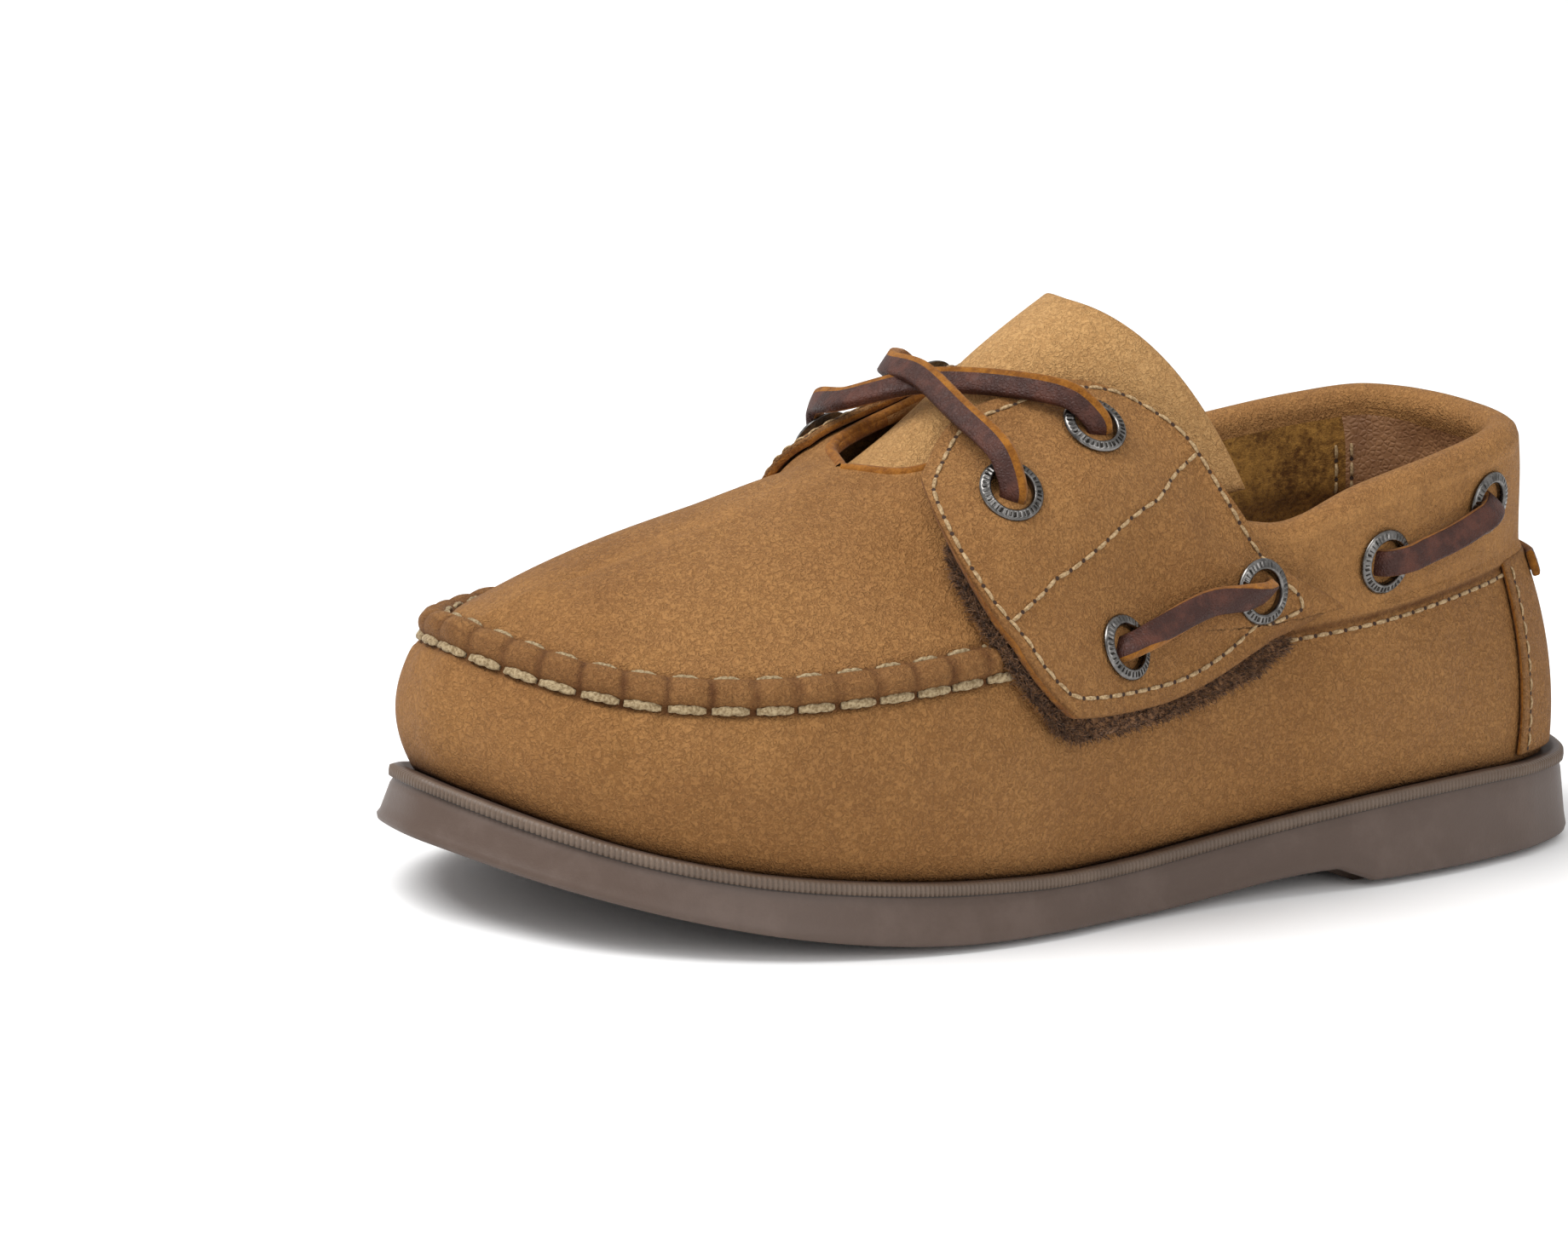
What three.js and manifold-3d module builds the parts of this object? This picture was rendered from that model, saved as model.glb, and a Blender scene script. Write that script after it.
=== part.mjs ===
// A child's boat shoe for the left foot, in millimetres: +X to the toe, +Y to the outer side, +Z up.
// The origin is on the floor under the middle of the heel.
import * as THREE from "three";
import { mergeVertices } from "three/addons/utils/BufferGeometryUtils.js";
import Module from "manifold-3d";

const wasm = await Module();
wasm.setup();
const { Manifold, Mesh } = wasm;

// Driving dimensions
const soleLength = 212;
const ballWidth = 81;
const heelCentre = 30; // from the back of the sole to the origin
const soleThickness = 14; // at the heel, floor to ledge
const toeSpring = 11.3; // how far the underside has risen at the toe tip
const archRise = 2.6;
const soleFlare = 1.9; // the sole's lower edge stands out by this
const treadStep = 1; // the tread's depth below the side's lower edge
const treadInset = 3.2;
const ledge = 3.2; // from the sole's edge to the foot of the upper
const welt = { width: 1.4, height: 0.9 };
const collarHeight = 64.9;
const wallThickness = 2.2;
const wallBulge = 4.6;
const collarPad = 5;
const collarStep = 1.1;
const seamRidge = 2.3; // height of the raised moccasin seam
const seamHalfWidth = 2.4;
const insoleThickness = 3;
const gap = 0.3; // between pieces that touch
const edgeRound = 0.4; // how far corners of the sole and insole are cut back

// Sections from the back of the heel to the tip of the toe. along and edgeAlong are shares of
// soleLength; lateral, medial, beltIn and edgeOut of ballWidth; top of soleThickness; bulge of
// wallBulge; beltUp and edgeUp of collarHeight. The belt is the line of the moccasin seam and,
// behind it, of the collar's seam. The edge is the topline, and past the throat the ridge of the
// plug. Leans are angles above the level, in degrees.
const columns = [
  "along", "lateral", "medial", "top", "bulge", "beltIn", "beltUp", "beltLean",
  "edgeAlong", "edgeOut", "edgeUp", "edgeLean",
];
const sections = [
  [0.0, 0.0, 0.0, 0.965, 0.05, 0.1, 0.74, 76, 0.071, 0.0, 1.02, 66],
  [0.03, 0.223, 0.223, 0.97, 0.05, 0.097, 0.738, 76, 0.083, 0.14, 1.02, 66],
  [0.08, 0.301, 0.318, 0.99, 0.12, 0.086, 0.73, 75, 0.112, 0.224, 1.01, 67],
  [0.15, 0.354, 0.362, 1.02, 0.3, 0.064, 0.712, 73, 0.166, 0.277, 0.98, 70],
  [0.25, 0.394, 0.355, 0.98, 0.5, 0.046, 0.68, 72, 0.258, 0.302, 0.93, 74],
  [0.38, 0.403, 0.315, 0.79, 0.55, 0.04, 0.655, 70, 0.368, 0.298, 0.862, 72],
  [0.44, 0.416, 0.319, 0.7, 0.6, 0.036, 0.652, 66, 0.415, 0.275, 0.935, 52],
  [0.5, 0.438, 0.335, 0.635, 0.65, 0.03, 0.656, 62, 0.472, 0.197, 1.135, 28],
  [0.6, 0.485, 0.4, 0.635, 0.7, 0.02, 0.668, 55, 0.58, 0.152, 1.11, 16],
  [0.65, 0.496, 0.445, 0.67, 0.72, 0.018, 0.67, 48, 0.65, 0.115, 1.037, 10],
  [0.68, 0.496, 0.472, 0.69, 0.75, 0.012, 0.663, 42, 0.672, 0.0, 1.02, 4],
  [0.76, 0.47, 0.505, 0.765, 0.78, 0.003, 0.64, 38, 0.752, 0.0, 0.94, 3],
  [0.84, 0.407, 0.493, 0.88, 0.8, 0.002, 0.62, 36, 0.8, 0.0, 0.885, 2],
  [0.91, 0.302, 0.427, 1.06, 0.8, 0.006, 0.618, 34, 0.838, 0.0, 0.842, 2],
  [0.96, 0.172, 0.327, 1.26, 0.8, 0.013, 0.636, 32, 0.864, 0.0, 0.812, 2],
  [0.99, 0.0, 0.21, 1.41, 0.8, 0.02, 0.66, 30, 0.88, 0.0, 0.794, 2],
  [1.0, -0.091, 0.091, 1.47, 0.8, 0.023, 0.672, 30, 0.89, 0.0, 0.783, 2],
].map((row) => Object.fromEntries(columns.map((name, i) => [name, row[i]])));
const tip = sections.length - 1;
const throat = 10; // the section where the opening ends and the plug's ridge begins

// The sections round the whole shoe, out along the outer side and back along the inner one
const ring = [
  ...sections.map((row) => ({ ...row, out: row.lateral })),
  ...sections.slice(1, tip).reverse().map((row) => ({ ...row, out: -row.medial })),
];
const knots = [0];
for (let i = 1; i <= tip; i++) {
  const a = sections[i - 1];
  const b = sections[i];
  const ahead = (b.along - a.along) * soleLength;
  const aside = ((b.lateral - a.lateral) ** 2 + (b.medial - a.medial) ** 2) / 2;
  knots[i] = knots[i - 1] + Math.hypot(ahead, Math.sqrt(aside) * ballWidth);
}
for (let i = tip - 1; i >= 0; i--) knots.push(2 * knots[tip] - knots[i]);
const girth = knots[ring.length];

// A column's value at knot i, and its slope there, on the closed ring
const valueAt = (name, i) => ring[(i + ring.length) % ring.length][name];
function knotAt(i) {
  const turns = Math.floor(i / ring.length);
  return knots[i - turns * ring.length] + turns * girth;
}
function slopeAt(name, i) {
  const before = knotAt(i) - knotAt(i - 1);
  const after = knotAt(i + 1) - knotAt(i);
  const fall = (valueAt(name, i) - valueAt(name, i - 1)) / before;
  const rise = (valueAt(name, i + 1) - valueAt(name, i)) / after;
  return (fall * after + rise * before) / (before + after);
}

// A column's smooth value at a section number, side 1 for the outer side and -1 for the inner
function read(name, side, section) {
  const place = side > 0 ? section : ring.length - section;
  const i = Math.floor(place);
  const t = place - i;
  const span = knotAt(i + 1) - knotAt(i);
  const a = valueAt(name, i);
  const b = valueAt(name, i + 1);
  const t2 = t * t;
  const t3 = t2 * t;
  return (
    (2 * t3 - 3 * t2 + 1) * a +
    (t3 - 2 * t2 + t) * span * slopeAt(name, i) +
    (3 * t2 - 2 * t3) * b +
    (t3 - t2) * span * slopeAt(name, i + 1)
  );
}

const mix = (a, b, t) => a + (b - a) * t;
const clamp = (t) => Math.min(1, Math.max(0, t));
const ease = (t) => clamp(t) ** 2 * (3 - 2 * clamp(t));

// The sole's top edge in plan, and the direction out of it
function edgePoint(side, section) {
  return new THREE.Vector2(
    read("along", side, section) * soleLength,
    read("out", side, section) * ballWidth,
  );
}
function outward(side, section) {
  const step = 0.02;
  const a = edgePoint(side, section - step);
  const b = edgePoint(side, section + step);
  return new THREE.Vector2(-(b.y - a.y), b.x - a.x).multiplyScalar(side).normalize();
}
const soleTop = (side, section) => read("top", side, section) * soleThickness;

// The middle line of the plug bends a little to the inner side towards the toe
const ridgeBend = 4.5;
const ridgeY = (x) => -ridgeBend * ease((x - 0.6 * soleLength) / (0.32 * soleLength));

// A point of the upper's outer face: v from 0 at the sole to 1 at the belt and 2 at the edge
function facePoint(side, section, v) {
  const foot = edgePoint(side, section);
  const out = outward(side, section);
  const beltIn = read("beltIn", side, section) * ballWidth;
  const beltUp = read("beltUp", side, section) * collarHeight;
  const footUp = soleTop(side, section) + gap;
  const at = (inset, up) =>
    new THREE.Vector3(foot.x - out.x * inset, foot.y - out.y * inset, up);
  if (v <= 1) {
    const bulge = read("bulge", side, section) * wallBulge * 4 * v * (1 - v);
    return at(ledge + beltIn * v * v - bulge, mix(footUp, beltUp, v));
  }
  const belt = at(ledge + beltIn, beltUp);
  const edgeX = read("edgeAlong", side, section) * soleLength;
  const edgeOut = Math.max(0, read("edgeOut", side, section)) * ballWidth;
  const shut = section >= throat;
  const edge = new THREE.Vector3(
    edgeX,
    ridgeY(edgeX) + (shut ? 0 : side * edgeOut),
    read("edgeUp", side, section) * collarHeight,
  );
  const across = new THREE.Vector3(edge.x - belt.x, edge.y - belt.y, 0).normalize();
  const reach = belt.distanceTo(edge) * 0.4;
  const lean = (name) => THREE.MathUtils.degToRad(read(name, side, section));
  const aim = (angle, way) =>
    way.clone().multiplyScalar(Math.cos(angle)).setZ(Math.sin(angle)).multiplyScalar(reach);
  const first = belt.clone().add(aim(lean("beltLean"), across));
  const last = edge.clone().sub(aim(lean("edgeLean"), across));
  const curve = new THREE.CubicBezierCurve3(belt, first, last, edge);
  if (v <= 2) return curve.getPoint(v - 1);
  return edge.addScaledVector(curve.getTangent(1), (v - 2) * curve.getLength());
}

// The outward normal of that face, shared where the two sides meet
function faceNormal(side, section, v) {
  const step = 0.02;
  const one = (s) => {
    const a = facePoint(s, Math.max(0.001, section - step), v);
    const b = facePoint(s, Math.min(tip - 0.001, section + step), v);
    const c = facePoint(s, section, Math.max(0, v - step));
    const d = facePoint(s, section, v < 2 ? Math.min(2, v + step) : v + step);
    return b.sub(a).cross(d.sub(c)).multiplyScalar(-s).normalize();
  };
  const seam = section <= 0 || section >= tip || (v >= 2 && section >= throat);
  const normal = one(side);
  return seam ? normal.add(one(-side)).normalize() : normal;
}

// Where the moccasin seam and the collar's step and padding run out, in sections
const seamEnd = 8.9;
const collarEnd = 7.0;
const padEnd = 5.8;
const padFade = 1.6;
const fadeLength = 0.5;
const collarRise = { from: 0.93, length: 0.06 }; // the height v where the collar steps out
const ridgeMask = (section) => ease((section - seamEnd) / fadeLength);
const collarMask = (section) => 1 - ease((section - collarEnd + fadeLength) / fadeLength);
const relief = (section, v) =>
  collarStep * collarMask(section) * ease((v - collarRise.from) / collarRise.length);

function geometryOf(vertices, triangles) {
  const geometry = new THREE.BufferGeometry();
  geometry.setAttribute("position", new THREE.Float32BufferAttribute(vertices.flat(), 3));
  geometry.setIndex(triangles.flat());
  return mergeVertices(geometry, 1e-3);
}

// Section numbers of the columns of a mesh, closer together at the toe, throat and heel
const perInterval = [2, 2, 2, 2, 3, 2, 2, 3, 2, 2, 2, 3, 3, 3, 2, 2];
const stops = perInterval.flatMap((n, i) => Array.from({ length: n }, (_, k) => i + k / n));
stops.push(tip);
// Places once round the shoe: the outer side to the toe, then back along the inner side
const round = [
  ...stops.map((section) => ({ side: 1, section })),
  ...stops.slice(1, -1).reverse().map((section) => ({ side: -1, section })),
];

// A closed solid from rings of points that follow each other over the solid's skin
function skin(rings, capStart, capEnd) {
  const count = rings[0].length;
  const vertices = rings.flat().map((p) => [p.x, p.y, p.z]);
  const triangles = [];
  for (let r = 0; r + 1 < rings.length; r++) {
    for (let i = 0; i < count; i++) {
      const j = (i + 1) % count;
      const a = r * count + i;
      const b = r * count + j;
      triangles.push([a, b + count, b], [a, a + count, b + count]);
    }
  }
  const cap = (start, flip) => {
    for (let i = 0; i < count / 2; i++) {
      const a = start + i;
      const b = start + i + 1;
      const c = start + ((count - i) % count);
      const d = start + ((count - i - 1) % count);
      for (const t of [[a, b, d], [a, d, c]]) {
        if (new Set(t).size === 3) triangles.push(flip ? [t[0], t[2], t[1]] : t);
      }
    }
  };
  if (capStart) cap(0, false);
  if (capEnd) cap((rings.length - 1) * count, true);
  return geometryOf(vertices, triangles);
}

// The sole's underside: the height of the side's lower edge above the floor
const heelEnd = 0.27;
const breastLength = 0.035;
const archEnd = 0.5;
const springStart = 0.64;
function underside(share) {
  const spring = toeSpring * clamp((share - springStart) / (1 - springStart)) ** 2;
  const breast = clamp((share - heelEnd) / breastLength);
  const fall = 1 - ease((share - heelEnd - breastLength) / (archEnd - heelEnd - breastLength));
  return spring + archRise * breast * fall;
}

function solePoint(c, inset, up) {
  const p = edgePoint(c.side, c.section);
  const out = outward(c.side, c.section);
  return new THREE.Vector3(p.x - out.x * inset, p.y - out.y * inset, up(c));
}

function outsole() {
  const share = (c) => read("along", c.side, c.section);
  const top = (c) => soleTop(c.side, c.section);
  const low = (c) => underside(share(c));
  const at = (inset, up) => round.map((c) => solePoint(c, inset, up));
  const rings = [
    at(treadInset, low),
    at(treadInset - edgeRound, (c) => low(c) + treadStep),
    at(edgeRound - soleFlare, (c) => low(c) + treadStep),
    at(-soleFlare, (c) => low(c) + treadStep + edgeRound * 2),
    at(0, (c) => top(c) - welt.height),
    at(0, (c) => top(c) + welt.height - edgeRound),
    at(edgeRound, (c) => top(c) + welt.height),
    at(welt.width, (c) => top(c) + welt.height),
    at(welt.width + edgeRound, top),
  ];
  return skin(rings, true, true);
}

function upper() {
  const rows = [
    0, 0.2, 0.4, 0.6, 0.8, "below", "lip", "crown", "inside", "above",
    1.16, 1.33, 1.5, 1.67, 1.84, 2,
  ];
  const outer = rows.map((row) => round.map((c) => rowPoint(c, row)));
  const inner = [2, 1.75, 1.5, 1.25, 1, 0.75, 0.5, 0.25, 0].map((v) =>
    round.map((c) => innerPoint(c, v)),
  );
  const last = rows.length - 1;
  const rims = [0.25, 0.5, 0.75].map((share) =>
    round.map((c, i) => {
      const a = outer[last][i];
      const b = inner[0][i];
      const up = outer[last][i].clone().sub(outer[last - 1][i]).normalize();
      const turn = share * Math.PI;
      const middle = a.clone().add(b).multiplyScalar(0.5);
      const half = a.clone().sub(b).multiplyScalar(0.5);
      const lift = c.section < throat ? half.length() * Math.sin(turn) : 0;
      return middle.addScaledVector(half, Math.cos(turn)).addScaledVector(up, lift);
    }),
  );
  return shell(outer, inner, rims);
}

// Rows by name are those of the moccasin seam and of the step of the collar
function rowPoint(c, row) {
  const { side, section } = c;
  const ridge = ridgeMask(section);
  const step = collarMask(section) * collarStep;
  const at = (v, out, up) =>
    facePoint(side, section, v)
      .add(faceNormal(side, section, v).multiplyScalar(out))
      .add(new THREE.Vector3(0, 0, up));
  const wall = read("beltUp", side, section) * collarHeight - soleTop(side, section);
  const plug = facePoint(side, section, 1).distanceTo(facePoint(side, section, 2));
  const down = seamHalfWidth / wall;
  const over = seamHalfWidth / plug;
  if (row === "below") return at(1 - down, 0, 0);
  if (row === "lip") return at(1 - down * 0.15, ridge * 0.5 * seamRidge + step * 0.2, 0);
  if (row === "crown") return at(1 + over * 0.05, step, ridge * seamRidge);
  if (row === "inside") return at(1 + over * 0.6, step, ridge * 0.6 * seamRidge);
  if (row === "above") return at(1 + over, step, 0);
  return at(row, row > 1 ? step : 0, 0);
}

function innerPoint(c, v) {
  const { side, section } = c;
  const padded = 1 - ease((section - padEnd + padFade) / padFade);
  const pad = (collarPad - wallThickness) * padded * ease((v - 1) / 0.3);
  return facePoint(side, section, v).sub(
    faceNormal(side, section, v).multiplyScalar(wallThickness + pad),
  );
}

// A shell between an outer and an inner stack of rings. Past the throat the two sides meet on the
// ridge, so the rim is only for the opening.
function shell(outer, inner, rims) {
  const count = round.length;
  const open = (i) => {
    const j = (i + 1) % count;
    return round[i].section < throat || round[j].section < throat;
  };
  const vertices = [];
  const triangles = [];
  const strip = (low, high, test) => {
    const start = vertices.length;
    vertices.push(...low.map((p) => [p.x, p.y, p.z]), ...high.map((p) => [p.x, p.y, p.z]));
    for (let i = 0; i < count; i++) {
      if (test && !test(i)) continue;
      const j = (i + 1) % count;
      const a = start + i;
      const b = start + j;
      triangles.push([a, b + count, b], [a, a + count, b + count]);
    }
  };
  for (let r = 0; r + 1 < outer.length; r++) strip(outer[r], outer[r + 1]);
  const rolled = [outer[outer.length - 1], ...rims, inner[0]];
  for (let r = 0; r + 1 < rolled.length; r++) strip(rolled[r], rolled[r + 1], open);
  for (let r = 0; r + 1 < inner.length; r++) strip(inner[r], inner[r + 1]);
  strip(inner[inner.length - 1], outer[0]);
  return geometryOf(vertices, triangles.filter((t) => new Set(t).size === 3));
}

function insole() {
  const inset = ledge + wallThickness + gap;
  const low = (c) => soleTop(c.side, c.section) + gap;
  const high = (c) => low(c) + insoleThickness;
  const at = (more, up) => round.map((c) => solePoint(c, inset + more, up));
  const middle = (c) => low(c) + insoleThickness / 3;
  return skin([at(edgeRound, low), at(0, middle), at(edgeRound * 2, high)], true, true);
}

// A closed sheet between the points at(s, t, 0) and at(s, t, 1), over an even grid of s and t
function sheet(at, across, along) {
  const vertices = [];
  const triangles = [];
  const id = (i, j, k) => (i * (along + 1) + j) * 2 + k;
  for (let i = 0; i <= across; i++) {
    for (let j = 0; j <= along; j++) {
      for (let k = 0; k < 2; k++) {
        const p = at(i / across, j / along, k);
        vertices.push([p.x, p.y, p.z]);
      }
    }
  }
  const face = (a, b, c, d) => triangles.push([a, b, c], [a, c, d]);
  for (let i = 0; i < across; i++) {
    for (let j = 0; j < along; j++) {
      face(id(i, j, 1), id(i + 1, j, 1), id(i + 1, j + 1, 1), id(i, j + 1, 1));
      face(id(i, j, 0), id(i, j + 1, 0), id(i + 1, j + 1, 0), id(i + 1, j, 0));
    }
  }
  for (let i = 0; i < across; i++) {
    face(id(i, 0, 0), id(i + 1, 0, 0), id(i + 1, 0, 1), id(i, 0, 1));
    face(id(i + 1, along, 0), id(i, along, 0), id(i, along, 1), id(i + 1, along, 1));
  }
  for (let j = 0; j < along; j++) {
    face(id(0, j + 1, 0), id(0, j, 0), id(0, j, 1), id(0, j + 1, 1));
    face(id(across, j, 0), id(across, j + 1, 0), id(across, j + 1, 1), id(across, j, 1));
  }
  return geometryOf(vertices, triangles);
}

// A smooth value from evenly spaced ones
function along(values, t) {
  const place = clamp(t) * (values.length - 1);
  const i = Math.min(values.length - 2, Math.floor(place));
  const f = place - i;
  const at = (k) => values[Math.min(values.length - 1, Math.max(0, k))];
  const rise = (at(i + 1) - at(i - 1)) / 2;
  const next = (at(i + 2) - at(i)) / 2;
  const f2 = f * f;
  const f3 = f2 * f;
  return (
    (2 * f3 - 3 * f2 + 1) * at(i) +
    (f3 - 2 * f2 + f) * rise +
    (3 * f2 - 2 * f3) * at(i + 1) +
    (f3 - f2) * next
  );
}

// An overlay on the upper's face. Each row of its outline goes from the top edge to the bottom one
// and names the section and the height v at its top, middle and bottom.
function place(rows, s, t) {
  const col = (k) => along(rows.map((row) => row[k]), s);
  const bend = (a, b, c) =>
    (1 - t) * (1 - 2 * t) * a + 4 * t * (1 - t) * b + t * (2 * t - 1) * c;
  return { section: bend(col(0), col(2), col(4)), v: bend(col(1), col(3), col(5)) };
}
function lifted(side, section, v, out) {
  return facePoint(side, section, v).addScaledVector(faceNormal(side, section, v), out);
}
function overlay(side, rows, low, high, grid) {
  const at = (s, t, k) => {
    const { section, v } = place(rows, side > 0 ? 1 - s : s, t);
    return lifted(side, section, v, relief(section, v) + (k ? high(v) : low(v)));
  };
  return sheet(at, grid.across, grid.down);
}

// The flap over the outer quarter: it lies on the quarter at the top and on the pile pad below.
// Rows from its front edge to its rear one.
const flapThickness = 2.4;
const padThickness = 2.3;
const flapRows = [
  [9.0, 1.88, 9.15, 1.22, 7.95, 0.71],
  [8.4, 2.09, 8.25, 1.36, 7.05, 0.73],
  [7.85, 2.13, 7.35, 1.4, 6.2, 0.78],
  [7.45, 2.1, 6.4, 1.52, 5.3, 0.87],
  [7.1, 2.0, 5.4, 1.95, 4.4, 0.97],
];
const padRows = [
  [9.2, 1.5, 9.1, 1.1, 7.85, 0.62],
  [8.2, 1.5, 8.1, 1.06, 7.0, 0.66],
  [7.2, 1.5, 7.0, 1.08, 6.1, 0.71],
  [6.2, 1.5, 6.0, 1.14, 5.2, 0.78],
  [5.5, 1.5, 5.3, 1.24, 4.75, 0.865],
];
const flapStep = { v: 1.86, length: 0.34 }; // where the flap climbs onto the pad
const flapLift = { v: 1.95, slope: 7 }; // its top edge lifts off the tongue
const flapLow = (v) =>
  gap * 2 +
  padThickness * ease((flapStep.v - v) / flapStep.length) +
  flapLift.slope * Math.max(0, v - flapLift.v);
const flapHigh = (v) => flapLow(v) + flapThickness;

// The inner eyestay, a second layer of leather along the throat, and the backstay over the heel
const overlayThickness = 1.4;
const eyestayRows = [
  [9.05, 1.9, 9.2, 1.5, 8.9, 1.06],
  [8.4, 1.98, 8.4, 1.64, 8.2, 1.24],
  [7.7, 2.0, 7.6, 1.72, 7.45, 1.42],
  [7.1, 2.0, 6.9, 1.8, 6.75, 1.58],
];
const overlayLow = () => gap * 1.5;
const overlayHigh = () => gap * 1.5 + overlayThickness;
// The backstay: the section it reaches to on either side, its thickness and its heights v
const stay = { half: 2.15, thickness: 0.9, top: 0.96, bottom: 0.04 };
function backstay() {
  const at = (s, t, k) => {
    const turn = (2 * s - 1) * stay.half;
    const side = turn < 0 ? -1 : 1;
    const v = mix(stay.top, stay.bottom, t);
    return lifted(side, Math.abs(turn), v, gap + k * stay.thickness);
  };
  return sheet(at, 14, 5);
}

// The tongue: rows from under the plug to its free end. ahead and rise are from the plug's rear
// edge; half is its half width, drop how far its sides fall and sweep how far they lie behind.
const tongueThickness = 2.4;
const tongueRows = {
  ahead: [8, 0, -14, -28, -42],
  rise: [-3.6, -1, 8.2, 19.4, 27.2],
  half: [10.5, 11.5, 12.6, 12.9, 16],
  drop: [7, 8, 15, 22.5, 26.5],
  sweep: [0, 0, 4, 13, 24],
  roundness: [2, 2, 2, 2.3, 3.1],
};
const tongueTurn = 1.25; // radians its sides turn by
function tonguePoint(s, t) {
  const rear = facePoint(1, throat, 2);
  const row = (name) => along(tongueRows[name], t);
  const under = wallThickness + gap + tongueThickness;
  const b = 2 * s - 1;
  const aside = Math.sin(b * tongueTurn) / Math.sin(tongueTurn);
  return new THREE.Vector3(
    rear.x + row("ahead") - row("sweep") * b * b,
    aside * row("half"),
    rear.z - under + row("rise") - row("drop") * Math.abs(b) ** row("roundness"),
  );
}
function tongue() {
  const step = 0.01;
  const at = (s, t, k) => {
    const a = tonguePoint(s - step, t);
    const b = tonguePoint(s + step, t);
    const c = tonguePoint(s, Math.max(0, t - step));
    const d = tonguePoint(s, Math.min(1, t + step));
    const out = b.sub(a).cross(d.sub(c)).normalize();
    return tonguePoint(s, t).addScaledVector(out, k * tongueThickness);
  };
  return sheet(at, 12, 9);
}

// Eyelets: a flange on the leather and a barrel through it
const eyelet = { outer: 5.2, bore: 3.4, wall: 0.35, flange: 0.9, barrel: 1.8 };
const eyeletSides = 12;
function eyeletAt(spot) {
  const { outer, bore, wall, flange, barrel } = eyelet;
  const foot = gap / 2;
  const profile = [
    [bore, -barrel],
    [bore + wall, -barrel],
    [bore + wall, foot],
    [outer, foot],
    [outer - 0.7, foot + flange * 0.9],
    [bore + 0.5, foot + flange],
    [bore, foot + flange * 0.6],
    [bore, -barrel],
  ].map(([r, z]) => new THREE.Vector2(r, z));
  const geometry = new THREE.LatheGeometry(profile, eyeletSides);
  geometry.rotateX(Math.PI / 2);
  return standing(geometry, spot);
}
// Turns a geometry built up along +Z at the origin to stand on a spot of the leather
function standing(geometry, spot) {
  const turn = new THREE.Quaternion().setFromUnitVectors(new THREE.Vector3(0, 0, 1), spot.out);
  geometry.applyQuaternion(turn);
  geometry.translate(spot.at.x, spot.at.y, spot.at.z);
  return geometry;
}
const spotOn = (side, section, v, out) => ({
  at: lifted(side, section, v, out + relief(section, v) + gap),
  out: faceNormal(side, section, v),
});
const spots = {
  flap_front: spotOn(1, 8.3, 1.65, flapHigh(1.65)),
  flap_rear: spotOn(1, 7.4, 1.85, flapHigh(1.85)),
  flap_bar_front: spotOn(1, 7.4, 0.97, flapHigh(0.97)),
  flap_bar_rear: spotOn(1, 5.38, 1.4, flapHigh(1.4)),
  outer_collar_front: spotOn(1, 4.0, 1.4, 0),
  outer_collar_rear: spotOn(1, 2.7, 1.62, 0),
  inner_collar_front: spotOn(-1, 4.0, 1.4, 0),
  inner_collar_rear: spotOn(-1, 2.7, 1.62, 0),
  inner_front: spotOn(-1, 8.3, 1.65, overlayHigh()),
  inner_rear: spotOn(-1, 7.4, 1.8, overlayHigh()),
};

// A hole for an eyelet's barrel, from above the leather to a depth below it
function hole(spot, depth) {
  const radius = eyelet.bore + eyelet.wall + gap;
  const geometry = new THREE.CylinderGeometry(radius, radius, depth + 1, eyeletSides);
  geometry.rotateX(Math.PI / 2);
  geometry.translate(0, 0, (1 - depth) / 2);
  return standing(geometry, spot);
}
function solidOf(geometry) {
  const bare = geometry.clone();
  bare.deleteAttribute("normal");
  bare.deleteAttribute("uv");
  const merged = mergeVertices(bare, 1e-3);
  return new Manifold(
    new Mesh({
      numProp: 3,
      vertProperties: new Float32Array(merged.attributes.position.array),
      triVerts: new Uint32Array(merged.index.array),
    }),
  );
}
function geometryFrom(solid) {
  const mesh = solid.getMesh();
  const geometry = new THREE.BufferGeometry();
  geometry.setAttribute("position", new THREE.Float32BufferAttribute(mesh.vertProperties, 3));
  geometry.setIndex(Array.from(mesh.triVerts));
  return geometry;
}
function drilled(geometry, names, depth) {
  let solid = solidOf(geometry);
  for (const name of names) solid = solid.subtract(solidOf(hole(spots[name], depth)));
  return geometryFrom(solid);
}

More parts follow.
